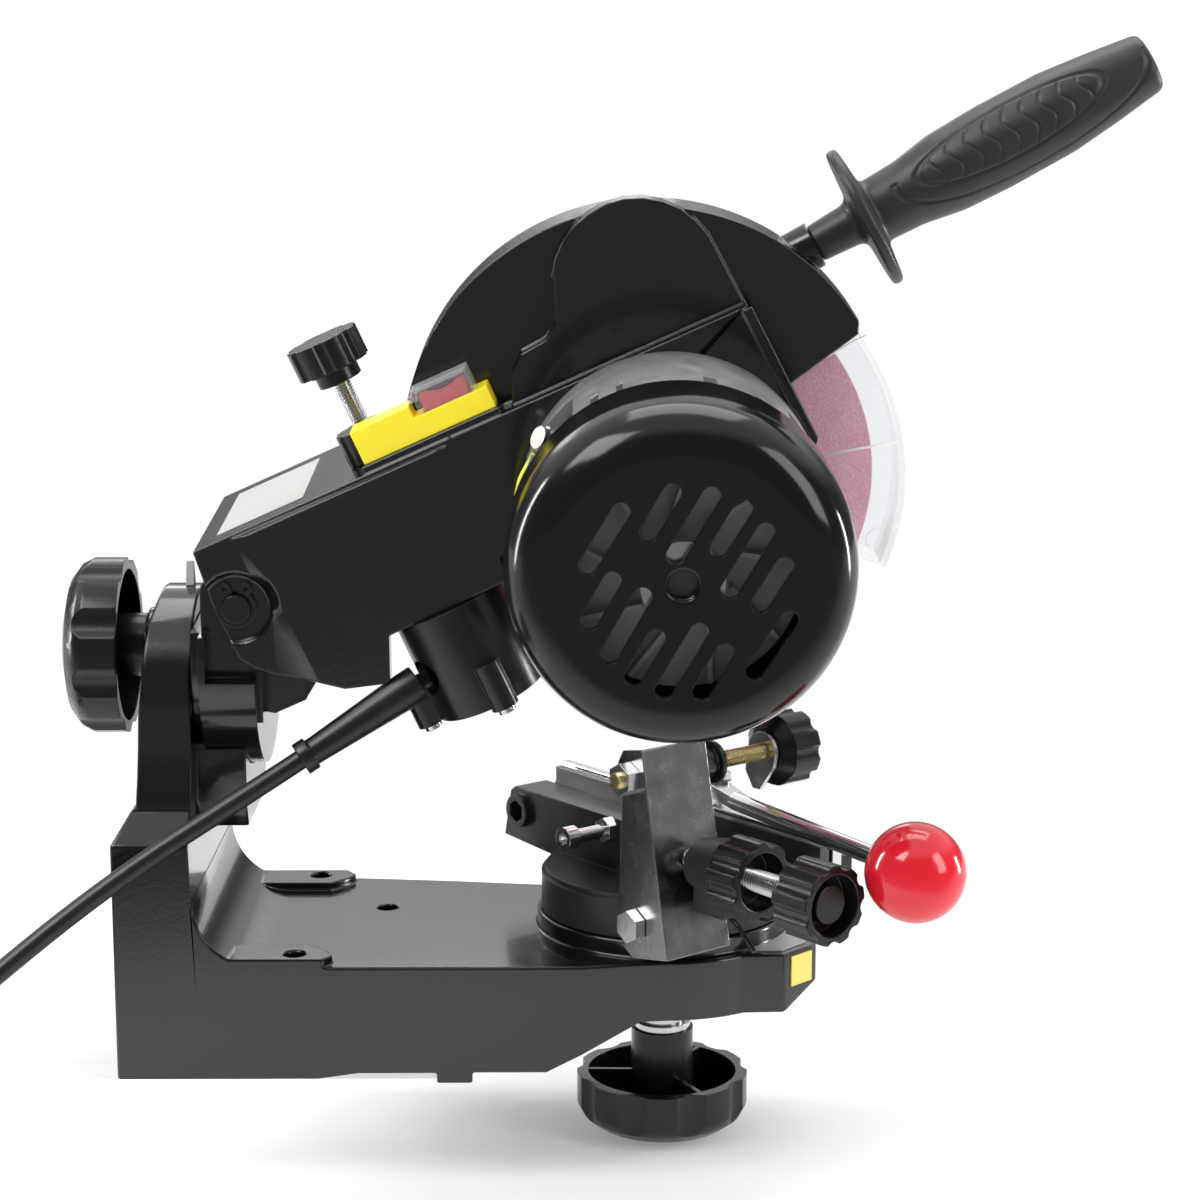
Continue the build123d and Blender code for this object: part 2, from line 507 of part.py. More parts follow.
def switch_cover():
    c = box(55.4, 75.8, SWITCH_Y0 + 0.2, SWITCH_Y1 - 0.2, SWITCH_LOW + SEAT, 19)
    c += cyl((54.6, SWITCH_Y0 + 0.2, 16.4), Y_, 1.0, SWITCH_Y1 - SWITCH_Y0 - 0.4)
    c += box(54.6, 56, SWITCH_Y0 + 0.2, SWITCH_Y1 - 0.2, 15.9, 17.2)
    c -= box(56.4, 74.8, SWITCH_Y0 + 1.4, SWITCH_Y1 - 1.4, 0, 17.8)
    # open below the hinge, so that the cover swings past the rocker's end
    return whole(c - box(50, 57.4, SWITCH_Y0 + 1.4, SWITCH_Y1 - 1.4, 0, 15.2))


put("switch_housing", head(arm(switch_housing())))
put("switch_rocker", head(arm(switch_rocker())))
put("switch_cover", head(arm(switch_cover())))

# ---------------------------------------------------------------- depth stop
DEPTH_LOW, DEPTH_HIGH = -36.0, 38.0
put("depth_screw", head(cyl(on(DEPTH_P, ARM_N, DEPTH_LOW), ARM_N, DEPTH_R, DEPTH_HIGH - DEPTH_LOW)))
depth_knob = lobed(on(DEPTH_P, ARM_N, 34), ARM_N, 12.9, 11, 8, 3.2, 1.9)
depth_knob += cyl(on(DEPTH_P, ARM_N, 29), ARM_N, 7.8, 5.2)
depth_knob -= cyl(on(DEPTH_P, ARM_N, 27), ARM_N, DEPTH_R + SEAT, DEPTH_HIGH - 27 + SEAT)
put("depth_knob", head(whole(depth_knob)))
lock_nut = lobed(on(DEPTH_P, ARM_N, 0.35), ARM_N, 10.2, 11.5, 8, 2.4, 1.4)
put("depth_lock_nut", head(whole(lock_nut - cyl(on(DEPTH_P, ARM_N, -2), ARM_N, DEPTH_R + RUN, 20))))

# ---------------------------------------------------------------- handle
GRIP = on(HANDLE_FOOT, HANDLE_DIR, 15.55)
GRIP_OUTLINE = [(0, 6.6), (14, 7.4), (16, 9), (17, 24.4), (18, 25.4), (20, 25.4), (21, 24.4), (22.5, 11.2),
                (36, 11.8), (50, 14.2), (68, 14.9), (92, 14.6), (110, 12.6), (122, 10.9), (126, 10.6), (127.5, 9.2)]
put("handle_stud", head(cyl(on(HANDLE_FOOT, HANDLE_DIR, 1), HANDLE_DIR, HANDLE_STUD_R, 70)))
grip = spun(GRIP, HANDLE_DIR, GRIP_OUTLINE) - cyl(on(GRIP, HANDLE_DIR, -1), HANDLE_DIR, HANDLE_STUD_R + SEAT, 58)
put("handle_grip", head(whole(grip)))


# ---------------------------------------------------------------- motor
BELL_Y = NEAR_Y - RUN
# angle and width in degrees of the windows in the bell
WINDOWS = [(143.5, 26), (121, 3.5), (111, 2.5), (78, 5), (58, 5), (36, 14), (-36, 14), (-70, 5), (-110, 5), (-143, 26)]
EARTH = (88.0, -58.0, 231.5)
EARTH_DIR = (-0.78, -0.48, 0.40)
EARTH_WIRE_R = 1.3
EARTH_WIRE = [(85.2, -59.7, 226.9), (80.6, -61.0, 219.0), (78.6, -57.0, 209.0), (78.6, NEAR_Y - 0.4, 204.0)]
# ends of the slots in the cap, from its centre
CAP_SLOTS = [(-18.0, 25.2, -30.2, 4.9), (-2.9, 31.0, -12.1, 14.9), (8.7, 30.0, -4.0, 8.2),
             (18.2, 26.0, 8.9, 10.3), (25.0, 19.1, 12.3, -2.5), (30.8, 8.6, 21.4, -6.9),
             (32.6, -8.3, 20.2, -27.9), (-20.6, 4.2, -29.7, -12.3), (-11.5, -0.7, -23.6, -22.8),
             (-7.4, -13.7, -16.2, -29.8), (5.6, -11.8, -7.0, -33.9), (13.3, -18.3, 4.4, -34.4)]


def bell():
    b = cyl((WHEEL_X, BELL_END, WHEEL_Z), Y_, BELL_R, BELL_Y - BELL_END)
    b -= cyl((WHEEL_X, BELL_END - 1, WHEEL_Z), Y_, BELL_R - BELL_WALL, BELL_Y - BELL_END - 5)
    b += cyl((WHEEL_X, -66, WHEEL_Z), Y_, 18, 20)
    for angle, width in WINDOWS:
        long = 34 if width > 10 else 12
        cut = Box(24, long, 2 * BELL_R * sin(radians(width / 2)))
        b -= Pos(WHEEL_X, -58 - long / 2 if width > 10 else -88, WHEEL_Z) * Rot(0, -angle, 0) * Pos(BELL_R, 0, 0) * cut
    b -= cyl((WHEEL_X, -120, WHEEL_Z), Y_, 15.0, 120)
    # lug of the earth screw
    b += cyl((91, -60, 229.8), Y_, 4.6, 60 - 44)
    b -= cyl(on(EARTH, EARTH_DIR, -SEAT), EARTH_DIR, 4.6, 14)
    b -= cyl(on(EARTH, EARTH_DIR, -9), EARTH_DIR, 2 + SEAT, 12)
    b -= earth_wire(EARTH_WIRE_R + CLEAR)
    return whole(b)


def earth_wire(r):
    start = Vector(*EARTH_WIRE[0])
    path = FilletPolyline(*EARTH_WIRE, radius=[8, 8])
    return sweep(Plane(origin=start, z_dir=Vector(*EARTH_WIRE[1]) - start) * Circle(r), path=path)


def stator():
    s = tube((WHEEL_X, -122, WHEEL_Z), Y_, BELL_R - BELL_WALL - RUN, STATOR_BORE, 38)
    for place in around((WHEEL_X, -103, WHEEL_Z), Y_, 34, 4, 45):
        s += place * Box(12, 20, 52)
    return whole(s - cyl((WHEEL_X, -140, WHEEL_Z), Y_, STATOR_BORE, 80))


def rear_cap():
    c = spun((WHEEL_X, BELL_END - SEAT, WHEEL_Z), (0, -1, 0),
             [(0, CAP_R - 1), (1.2, CAP_R), (26, CAP_R), (33, 53.2), (38.5, 50.4), (42.2, 46.4), (44.0, 41.8), (44.45, 38)])
    c -= spun((WHEEL_X, BELL_END + 1, WHEEL_Z), (0, -1, 0),
              [(0, BELL_R - BELL_WALL + RUN), (14.2, BELL_R - BELL_WALL + RUN), (14.2, 50.4), (28, 50.4), (34, 49.2),
               (39, 45.7), (41.8, 39)])
    c += cyl((WHEEL_X, -152, WHEEL_Z), Y_, 19, 10)
    for x0, z0, x1, z1 in CAP_SLOTS:
        turn = degrees(atan2(z1 - z0, x1 - x0))
        slot = extrude(SlotOverall(hypot(x1 - x0, z1 - z0) + 1.2, 5.8), amount=4.5, both=True)
        middle = Pos(WHEEL_X + 0.5 + (x0 + x1) / 2, -150, WHEEL_Z - 0.5 + (z0 + z1) / 2)
        c -= middle * Rot(0, -turn, 0) * Rot(90, 0, 0) * slot
    c -= cyl((WHEEL_X, -160, WHEEL_Z), Y_, 4.7, 30)
    c -= cyl((WHEEL_X, -150.5, WHEEL_Z), Y_, 13 + SEAT, 10)
    return whole(c)


put("motor_front_bell", head(bell()))
put("stator", head(stator()))
put("motor_rear_cap", head(rear_cap()))
put("motor_bolts", head(cyl(EARTH, EARTH_DIR, 3.9, 2.6) + cyl(on(EARTH, EARTH_DIR, -6), EARTH_DIR, 2.0, 7)))
put("bearings", head(tube((WHEEL_X, -40, WHEEL_Z), Y_, 15 - SEAT, SHAFT_R + RUN, 9)),
    head(tube((WHEEL_X, -150.2, WHEEL_Z), Y_, 13, STUD_R + RUN, 8)))


# ---------------------------------------------------------------- rotor
def rotor():
    r = cyl((WHEEL_X, -149.5, WHEEL_Z), Y_, STUD_R, 20) + cyl((WHEEL_X, -130, WHEEL_Z), Y_, SHAFT_R, 144)
    return whole(r + cyl((WHEEL_X, -122, WHEEL_Z), Y_, ROTOR_R, 38))


def fan():
    f = cyl((WHEEL_X, -131.5, WHEEL_Z), Y_, 10, 8) + cyl((WHEEL_X, -131.5, WHEEL_Z), Y_, 38, 1.6)
    for place in around((WHEEL_X, -133.5, WHEEL_Z), Y_, 26, 9):
        f += place * Rot(0, 0, 18) * Box(22, 1.6, 7)
    return whole(f - cyl((WHEEL_X, -138, WHEEL_Z), Y_, SHAFT_R + SEAT, 20))


FLANGE_R, FLANGE_T = 21.0, 6.0
put("rotor_shaft", head(rotor()))
put("cooling_fan", head(fan()))
put("wheel_flanges", *[head(tube((WHEEL_X, y, WHEEL_Z), Y_, FLANGE_R, SHAFT_R + SEAT, FLANGE_T))
                       for y in (-WHEEL_T / 2 - SEAT - FLANGE_T, WHEEL_T / 2 + SEAT)])
put("grinding_wheel", head(tube((WHEEL_X, -WHEEL_T / 2, WHEEL_Z), Y_, WHEEL_R, WHEEL_BORE / 2, WHEEL_T)))
NUT_Y = WHEEL_T / 2 + 2 * SEAT + FLANGE_T
spindle_nut = hexagon((WHEEL_X, NUT_Y, WHEEL_Z), Y_, 17, 6)
put("spindle_nut", head(spindle_nut - cyl((WHEEL_X, 0, WHEEL_Z), Y_, SHAFT_R + SEAT, 20)))

# ---------------------------------------------------------------- terminal box and cord
RELIEF = [(0.5, GLAND_R), (6, GLAND_R), (RELIEF_LONG - 5, 4.5), (RELIEF_LONG - 3, 4.5), (RELIEF_LONG - 3, 5.7),
          (RELIEF_LONG, 5.7), (RELIEF_LONG, 4.4)]
BOX_SCREWS = [(10.5, -28.0), (39.5, -46.0)]


def terminal_box():
    """Body under the arm and its screwed cover, as two solids in world."""
    body = cyl((BOX_T, BOX_Y, BOX_SEAM), Z_, BOX_R, BOX_TOP - BOX_SEAM)
    body -= cyl((BOX_T, BOX_Y, BOX_SEAM - 1), Z_, BOX_R - 3, BOX_TOP - BOX_SEAM - 2)
    cover = cyl((BOX_T, BOX_Y, BOX_BOTTOM), Z_, BOX_R, BOX_SEAM - SEAT - BOX_BOTTOM)
    cover += box(BOX_SCREWS[0][0], 20, BOX_SCREWS[0][1] - 5, BOX_SCREWS[0][1] + 5, BOX_BOTTOM, BOX_SEAM - SEAT)
    for t, y in BOX_SCREWS:
        cover += cyl((t, y, BOX_BOTTOM - 1.5), Z_, 5, BOX_SEAM - SEAT - BOX_BOTTOM + 1.5)
    cover -= cyl((BOX_T, BOX_Y, BOX_BOTTOM + 3), Z_, BOX_R - 3, BOX_SEAM - BOX_BOTTOM)
    for t, y in BOX_SCREWS:
        cover += cyl((t, y, BOX_BOTTOM - 1.5), Z_, 4.4, BOX_SEAM - SEAT - BOX_BOTTOM + 1.5)
    gland = cyl(on(GLAND, CORD_OUT, -12), CORD_OUT, GLAND_R + SEAT, 60)
    return [whole(head(arm(whole(body))) - gland - NODES["head_casting"][0]), whole(head(arm(whole(cover))) - gland)]


put("terminal_box", *[whole(s) for s in terminal_box()])
put("box_screws", *[head(arm(cyl((t, y, BOX_BOTTOM - 1.5 - SEAT - 2), Z_, 3.2, 2))) for t, y in BOX_SCREWS])
put("earth_wire", head(earth_wire(EARTH_WIRE_R)))

CORD_START = on(GLAND, CORD_OUT, RELIEF_LONG - CORD_HELD)
relief = spun(GLAND, CORD_OUT, RELIEF) - cyl(on(CORD_START, CORD_OUT, -SEAT), CORD_OUT, CORD_R + SEAT, CORD_HELD + 5)
put("strain_relief", whole(relief))


def cord_radii(points):
    """The largest arc that the runs on each side of a corner allow."""
    radii = []
    for a, b, c in zip(points, points[1:], points[2:]):
        run_in, run_out = Vector(*b) - Vector(*a), Vector(*c) - Vector(*b)
        half_turn = radians(run_in.get_angle(run_out)) / 2
        radii.append(0.45 * min(run_in.length, run_out.length) / tan(half_turn))
    return radii


coil = tube((COIL_X, COIL_Y, 0), Z_, COIL_R, COIL_R - COIL_ACROSS, COIL_LAYERS * CORD_PITCH)
cord_points = [CORD_START] + ROUTE
radii = cord_radii(cord_points)
path = FilletPolyline(*cord_points, radius=radii)
cord = sweep(Plane(origin=CORD_START, z_dir=CORD_OUT) * Circle(CORD_R), path=path)
print("cord radii", [round(r, 1) for r in radii])
print("cord length", round(path.length, 1), "volume over section", round(cord.volume / (pi * CORD_R ** 2), 1))
put("cord", whole(cord - coil))
put("cord_coil", coil)


def plug():
    """Two-pin plug beside the coil, with a tapered tail and finger grips."""
    x, y = PLUG_TAIL
    z = PLUG_R + RUN
    p = spun((x, y, z), X_, [(0, 4.6), (18, 6.5), (19, 11), (30, PLUG_R - 1.7), (33, PLUG_R), (50, PLUG_R),
                             (52, PLUG_R - 0.8)])
    for side in (-1, 1):
        grip = y + side * (PLUG_R + 4.8)
        p -= box(x + 16, x + 60, grip - 7.5, grip + 7.5, z - 2.4, z + 2.4)
        p += cyl((x + 51, y + 9.5 * side, z), X_, 2.4, 19)
    return whole(p)


put("plug", plug())

# ---------------------------------------------------------------- vise
U_, V_ = (0, -1, 0), (1, 0, 0)


def vise_point(u, v, z):
    return (v, -u, z)


def vise_body():
    b = cyl((0, 0, FLOOR_Z + CLEAR), Z_, TABLE_R, TABLE_TOP - FLOOR_Z - 2)
    b += cyl((0, 0, TABLE_TOP - 3), Z_, TABLE_R - 1.4, 3)
    b += vise_slab([(-69.5, 61.8), (-65.6, BAR_TOP - 2), (-63, BAR_TOP), (84, BAR_TOP), (84, 66), (78, 62.5),
                    (41, 60), (-41, 60)], BAR_V0, BAR_V1)
    # ear behind the rails for the cam bolt
    b += vise_plan([(-4, BAR_V1 - 1), (34, BAR_V1 - 1), (28, 21.5), (2, 21.5)], 66, BAR_TOP - CLEAR)
    # socket boss on the far end of the bar
    b += cyl(vise_point(-59.4, BAR_V0 - 2.4, 73), V_, 6.2, 8)
    # arm and boss of the adjusting screw
    b += vise_box(63, 78, ADJUST_V - 4, BAR_V0 + 1, 67, BAR_TOP)
    b += cone(vise_point(63, ADJUST_V, ADJUST_Z), U_, 8.5, 12.0, 16)
    # ear of the stop bracket's hinge bolt
    b += vise_slab([(33, 52), (33, 66), (40, 70), (50, 70), (56, 62), (56, 54), (50, 52)], -46.5, -15)
    # groove for the rails and the clearance slot of the drive links
    travel = 0.8
    b -= vise_box(-80, 95, -RAIL_V - SEAT, RAIL_V + travel + CLEAR, BAR_TOP - RAIL_SEAT, BAR_TOP + 1)
    b -= vise_box(-80, 95, -1.2, 1.2, BAR_TOP - 10, BAR_TOP + 1)
    b -= hexagon(vise_point(-59.4, -30, 73), V_, 7.2, 60)
    b -= cyl(vise_point(0, ADJUST_V, ADJUST_Z), U_, ADJUST_R + RUN, 120)
    b -= cyl(vise_point(STOP_U, -60, STOP_Z), V_, BOLT_R + SEAT, 42)
    b -= cyl(vise_point(CAM_U, CAM_V, BAR_TOP - 16), Z_, BOLT_R + SEAT, 40)
    b -= cyl(vise_point(-5, -50, 77.5), V_, 2.5 + SEAT, 80)
    b -= cyl((0, 0, 30), Z_, STUD_R + SEAT, 24)
    return whole(b)


RAIL_Z = BAR_TOP - RAIL_SEAT + SEAT


def rail(v0, v1, u0, u1):
    """Rail with its top edge relieved next to the chain slot."""
    r = vise_box(u0, u1, v0, v1, RAIL_Z, RAIL_Z + RAIL_SEAT + RAIL_H)
    return r - vise_box(-80, 95, -SLOT, SLOT, RAIL_Z + RAIL_SEAT + RAIL_H - 1.6, 120)


put("vise_body", vise(vise_body()))
put("rail_fixed", vise(rail(-RAIL_V, -SLOT / 2, -57, 88)))
put("rail_moving", vise(rail(SLOT / 2, RAIL_V, -62, 88)))
JAW = vise_point(-5, -38, 77.5)
put("jaw_screw",
    vise(cyl(JAW, V_, 2.5, 30) + cyl(on(JAW, V_, -4.5), V_, 4.2, 5) - hexagon(on(JAW, V_, -5), V_, 4.0, 3.2)),
    vise(hexagon(on(JAW, V_, 18 - 4.35), V_, 8, 4.3) - cyl(JAW, V_, 2.5 + SEAT, 20)))


# cam lever
def cam_lever():
    bottom, top = BAR_TOP + CLEAR, LEVER_Z + LEVER_R - 1
    cam = cyl(vise_point(CAM_U, CAM_V - CAM_OFF, bottom), Z_, CAM_R, top - bottom)
    bend, end = (38.6, 2.0), (124.3, -10.3)
    neck = vise_plan([(CAM_U - 1, CAM_V - CAM_OFF + 4), (CAM_U - 3, CAM_V - CAM_OFF - 4), (bend[0], bend[1] - 2.6),
                      (bend[0] + 2, bend[1] + 2.8)], LEVER_Z - 2.4, top)
    run = hypot(end[0] - bend[0], end[1] - bend[1])
    along = (-(bend[1] - end[1]) / run, -(end[0] - bend[0]) / run, 0)
    start = vise_point(bend[0] - 2, bend[1] + 0.3, LEVER_Z)
    lever = cam + neck + cyl(start, along, LEVER_R, run + 4)
    lever -= cyl(vise_point(CAM_U, CAM_V, 60), Z_, BOLT_R + RUN, 60)
    return whole(lever), start, along, run


lever, lever_start, lever_dir, lever_run = cam_lever()
put("cam_lever", vise(lever))
BOLT_TOP = LEVER_Z + LEVER_R - 1 + CLEAR
put("cam_bolt", vise(cyl(vise_point(CAM_U, CAM_V, BAR_TOP - 15.5), Z_, BOLT_R, BOLT_TOP - BAR_TOP + 16)
                     + cyl(vise_point(CAM_U, CAM_V, BOLT_TOP), Z_, 4.8, 2.0)))
BALL_S = lever_run + 4 + 13.4
ball = Pos(*on(lever_start, lever_dir, BALL_S)) * Sphere(BALL_R)
ball -= cyl(on(lever_start, lever_dir, lever_run - 20), lever_dir, LEVER_R + SEAT, 24 + SEAT)
ball -= cyl(on(lever_start, lever_dir, BALL_S - BALL_R - 3), lever_dir, 6.4, 4.4)
put("lever_ball", vise(whole(ball)))

# vise stud, its lock knob and washers under the base
put("vise_stud", vise(cyl((0, 0, -26), Z_, STUD_R, FLOOR_Z + 7 + 26)))
vise_knob = round_knob((0, 0, -38.5), Z_, 10)
vise_knob += cyl((0, 0, -33), Z_, KNOB_STEM_R, 33)
for place in around((0, 0, -24), Z_, 18, 3, 20):
    vise_knob += place * Box(20, 1.8, 14)
put("vise_lock_knob", vise(whole(vise_knob - cyl((0, 0, -27), Z_, STUD_R + RUN, 40))))
WASHERS = [(0.06, 10.4, 2.4), (2.5, 8.6, 3.4), (5.94, 10.4, 3.9)]
put("lock_washers", *[vise(tube((0, 0, z), Z_, r, STUD_R + 0.06, t)) for z, r, t in WASHERS])

# ---------------------------------------------------------------- chain stop
LEFT_V, RIGHT_V, WEB_A = -50.0, -21.5, 14.4


def lean(a, h):
    """Bracket frame, a across and h up from the hinge bolt, to (u, z)."""
    s, c = sin(radians(STOP_LEAN)), cos(radians(STOP_LEAN))
    return (STOP_U + a * c - h * s, STOP_Z + a * s + h * c)


PAWL_U, PAWL_Z = lean(6.6, 50.6)


def stop_bracket():
    """Bent sheet: a web with a flange on its left, and a short one at the top right."""
    web = [lean(WEB_A, -12), lean(WEB_A, 60), lean(WEB_A - SHEET, 60), lean(WEB_A - SHEET, -12)]
    b = vise_slab(web, LEFT_V, RIGHT_V)
    flange = [lean(WEB_A, -12), lean(WEB_A, 60), lean(4, 60), lean(0.5, 56), lean(0.5, 44), lean(-8, 8), lean(-9, -8),
              lean(-4, -12)]
    b += vise_slab(flange, LEFT_V, LEFT_V + SHEET)
    ear = [lean(WEB_A, 34), lean(WEB_A, 60), lean(2.5, 60), lean(0, 56), lean(0, 46), lean(5, 40)]
    b += vise_slab(ear, RIGHT_V - SHEET, RIGHT_V)
    b -= cyl(vise_point(STOP_U, -60, STOP_Z), V_, BOLT_R + RUN, 20)
    b -= cyl(vise_point(PAWL_U, -60, PAWL_Z), V_, BOLT_R + SEAT, 60)
    return whole(b)


put("stop_bracket", vise(stop_bracket()))
put("bracket_bolt", vise(cyl(vise_point(STOP_U, LEFT_V - 0.1, STOP_Z), V_, BOLT_R, 30)
                         + hexagon(vise_point(STOP_U, LEFT_V - CLEAR - 4.2, STOP_Z), V_, 10, 4.2)
                         + cyl(vise_point(STOP_U, LEFT_V - CLEAR - 0.1, STOP_Z), V_, BOLT_R, 1)))
put("pawl_bolt", vise(cyl(vise_point(PAWL_U, -57, PAWL_Z), V_, BOLT_R, 84.5)),
    vise(hexagon(vise_point(PAWL_U, LEFT_V - 5.1, PAWL_Z), V_, 10, 5.05)
         - cyl(vise_point(PAWL_U, -60, PAWL_Z), V_, BOLT_R + SEAT, 20)))
spacer = spun(vise_point(PAWL_U, RIGHT_V + RUN, PAWL_Z), V_, [(0, 6.2), (6.5, 5.6), (7, 7.4), (9, 7.4)])
put("pawl_spacer", vise(whole(spacer - cyl(vise_point(PAWL_U, -40, PAWL_Z), V_, BOLT_R + SEAT, 60))))


def pawl():
    """Finger that hangs on the bolt and stops a tooth of the chain."""
    top = arc(PAWL_U, PAWL_Z, 7.2, 0, 180, 8)
    p = vise_slab(top + [(PAWL_U - 8.5, PAWL_Z - 8), (PAWL_U - 4.5, PAWL_Z - 14), (PAWL_U - 1, PAWL_Z - 14),
                         (PAWL_U + 6, PAWL_Z - 5)], 10.0, 11.6)
    return whole(p - cyl(vise_point(PAWL_U, 0, PAWL_Z), V_, BOLT_R + RUN, 30))


def pawl_knob():
    k = cone(vise_point(PAWL_U, 12.0, PAWL_Z), V_, 8.0, 12.8, 3.2)
    k += lobed(vise_point(PAWL_U, 15.1, PAWL_Z), V_, 13.0, 11.5, 8, 3.2, 1.8)
    k -= cyl(vise_point(PAWL_U, 19.5, PAWL_Z), V_, 9.6, 20) - cyl(vise_point(PAWL_U, 10, PAWL_Z), V_, 5.5, 13)
    return whole(k - cyl(vise_point(PAWL_U, 8, PAWL_Z), V_, BOLT_R + RUN, 40))


put("pawl", vise(pawl()))
put("pawl_knob", vise(pawl_knob()))

# adjusting screw along the rails, with its knob and lock knob
web_u = STOP_U + (WEB_A - (ADJUST_Z - STOP_Z) * sin(radians(STOP_LEAN))) / cos(radians(STOP_LEAN))
TIP = web_u + CLEAR + ADJUST_R * tan(radians(STOP_LEAN))
put("adjust_screw", vise(cyl(vise_point(TIP, ADJUST_V, ADJUST_Z), U_, ADJUST_R, 122 - TIP)))


def end_knob(u):
    """Lobed knob with a dished face; closed on the side of the boss."""
    k = lobed(vise_point(u, ADJUST_V, ADJUST_Z), U_, 13.3, 16, KNOB_LOBES, 3.2, 1.8)
    k -= cyl(vise_point(u + 9, ADJUST_V, ADJUST_Z), U_, 10.2, 10) - cyl(vise_point(u, ADJUST_V, ADJUST_Z), U_, 6.4, 14)
    return whole(k - cyl(vise_point(u - 5, ADJUST_V, ADJUST_Z), U_, ADJUST_R + SEAT, 122 - u + 5 + SEAT))


def lock_knob(u):
    k = lobed(vise_point(u, ADJUST_V, ADJUST_Z), U_, 13.3, 14, KNOB_LOBES, 3.2, 1.8)
    k -= cyl(vise_point(u + 5, ADJUST_V, ADJUST_Z), U_, 9.8, 12)
    return whole(k - cyl(vise_point(u - 5, ADJUST_V, ADJUST_Z), U_, ADJUST_R + RUN, 40))


put("adjust_knob", vise(end_knob(111.5)))
put("adjust_lock_knob", vise(lock_knob(79 + CLEAR)))
spring = [vise_point(56.5, -18.6, 59.6), vise_point(62, -18.6, 57), vise_point(70, -18, 49.6)]
spring_start = Plane(origin=spring[0], z_dir=tuple(Vector(*spring[1]) - Vector(*spring[0])))
put("stop_spring", vise(sweep(spring_start * Circle(0.8),
                              path=FilletPolyline(*spring, radius=[6]))))

# ---------------------------------------------------------------- export
for old in os.listdir("parts"):
    if old.endswith(".step"):
        os.remove(os.path.join("parts", old))
for name, solids in NODES.items():
    assert solids and all(solid.is_valid for solid in solids), name
    shape = solids[0] if len(solids) == 1 else Compound(children=solids)
    shape.label = name
    export_step(shape, f"parts/{name}.step")
print(len(NODES), "nodes", {name: len(solids) for name, solids in NODES.items() if len(solids) > 1})
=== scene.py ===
# %% [markdown]
# # An electric chainsaw sharpener
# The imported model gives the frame: every node is already in place, in metres, with +X towards the
# operator, +Y away and +Z up. This notebook lights it, gives each piece its finish, and replaces the
# plainest nodes by finer meshes.

# %% Start
import json
from math import cos, sin, pi, radians, sqrt

import bmesh
import bpy
from mathutils import Matrix, Vector


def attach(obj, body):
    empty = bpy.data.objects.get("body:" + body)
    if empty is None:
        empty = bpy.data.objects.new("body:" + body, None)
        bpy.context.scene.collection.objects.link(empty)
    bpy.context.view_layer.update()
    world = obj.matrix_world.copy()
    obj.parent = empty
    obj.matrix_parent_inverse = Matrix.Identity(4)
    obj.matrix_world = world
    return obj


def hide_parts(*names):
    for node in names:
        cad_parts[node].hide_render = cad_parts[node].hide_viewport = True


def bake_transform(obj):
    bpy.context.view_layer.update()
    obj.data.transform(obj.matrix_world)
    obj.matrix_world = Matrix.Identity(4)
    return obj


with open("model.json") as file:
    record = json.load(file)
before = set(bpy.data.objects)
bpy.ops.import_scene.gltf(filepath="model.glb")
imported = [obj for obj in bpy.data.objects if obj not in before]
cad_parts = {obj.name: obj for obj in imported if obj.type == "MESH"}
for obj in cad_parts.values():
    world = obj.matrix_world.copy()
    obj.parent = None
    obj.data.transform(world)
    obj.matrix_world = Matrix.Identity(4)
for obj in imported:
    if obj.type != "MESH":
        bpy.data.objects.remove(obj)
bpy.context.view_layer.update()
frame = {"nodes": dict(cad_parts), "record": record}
for plain in list(bpy.data.materials):
    bpy.data.materials.remove(plain)
MM = 0.001

# %% [markdown]
# ## Places that several pieces share
# The head is tilted a little about the X axis through the swivel bracket, so a point that is easy to
# give on the upright head is turned into the model's frame by one matrix. The arm slopes on the head,
# and the vise is turned on the base, so they get a matrix each as well.

# %% Frames of the head, the arm and the vise
TILT_AXIS = Vector((0, 0, 144)) * MM
PIVOT = Vector((0, 0, 203.45)) * MM
VISE_AXIS = Vector((130, 0, 0)) * MM
HEAD_TILT, ARM_SLOPE, VISE_TURN = radians(5.0), radians(-24.3), radians(38.5)
HEAD = (Matrix.Translation(TILT_AXIS) @ Matrix.Rotation(HEAD_TILT, 4, "X")
        @ Matrix.Translation(-TILT_AXIS))
ARM = HEAD @ Matrix.Translation(PIVOT) @ Matrix.Rotation(ARM_SLOPE, 4, "Y")
VISE = Matrix.Translation(VISE_AXIS) @ Matrix.Rotation(VISE_TURN, 4, "Z")


def mm(*values):
    return Vector(values) * MM


def along(start, direction):
    """Matrix that puts +Z on a direction and the origin on start."""
    turn = Vector(direction).normalized().to_track_quat("Z", "Y").to_matrix().to_4x4()
    return Matrix.Translation(Vector(start)) @ turn


# %% [markdown]
# ## Camera
# A long lens from the near side, a little above the machine. The target and the lens fix the framing,
# so the picture needs no shift.

# %% Camera
LENS, SENSOR = 79.335, 36.0
EYE, TARGET = mm(100.2, -934.1, 333.1), mm(107, 0, 160)
camera = bpy.data.objects.new("camera", bpy.data.cameras.new("camera"))
bpy.context.scene.collection.objects.link(camera)
camera.data.lens = LENS
camera.data.sensor_width = SENSOR
camera.location = EYE
camera.rotation_euler = (TARGET - camera.location).to_track_quat("-Z", "Y").to_euler()
bpy.context.scene.camera = camera
bpy.context.scene.view_settings.view_transform = "Standard"


# %% [markdown]
# ## Shader maths as Python expressions
# A Signal wraps one output of a node. Adding or multiplying Signals adds the Math nodes, which keeps a
# material readable. Every other node comes from one function that sets the node's own settings first
# and then its sockets.

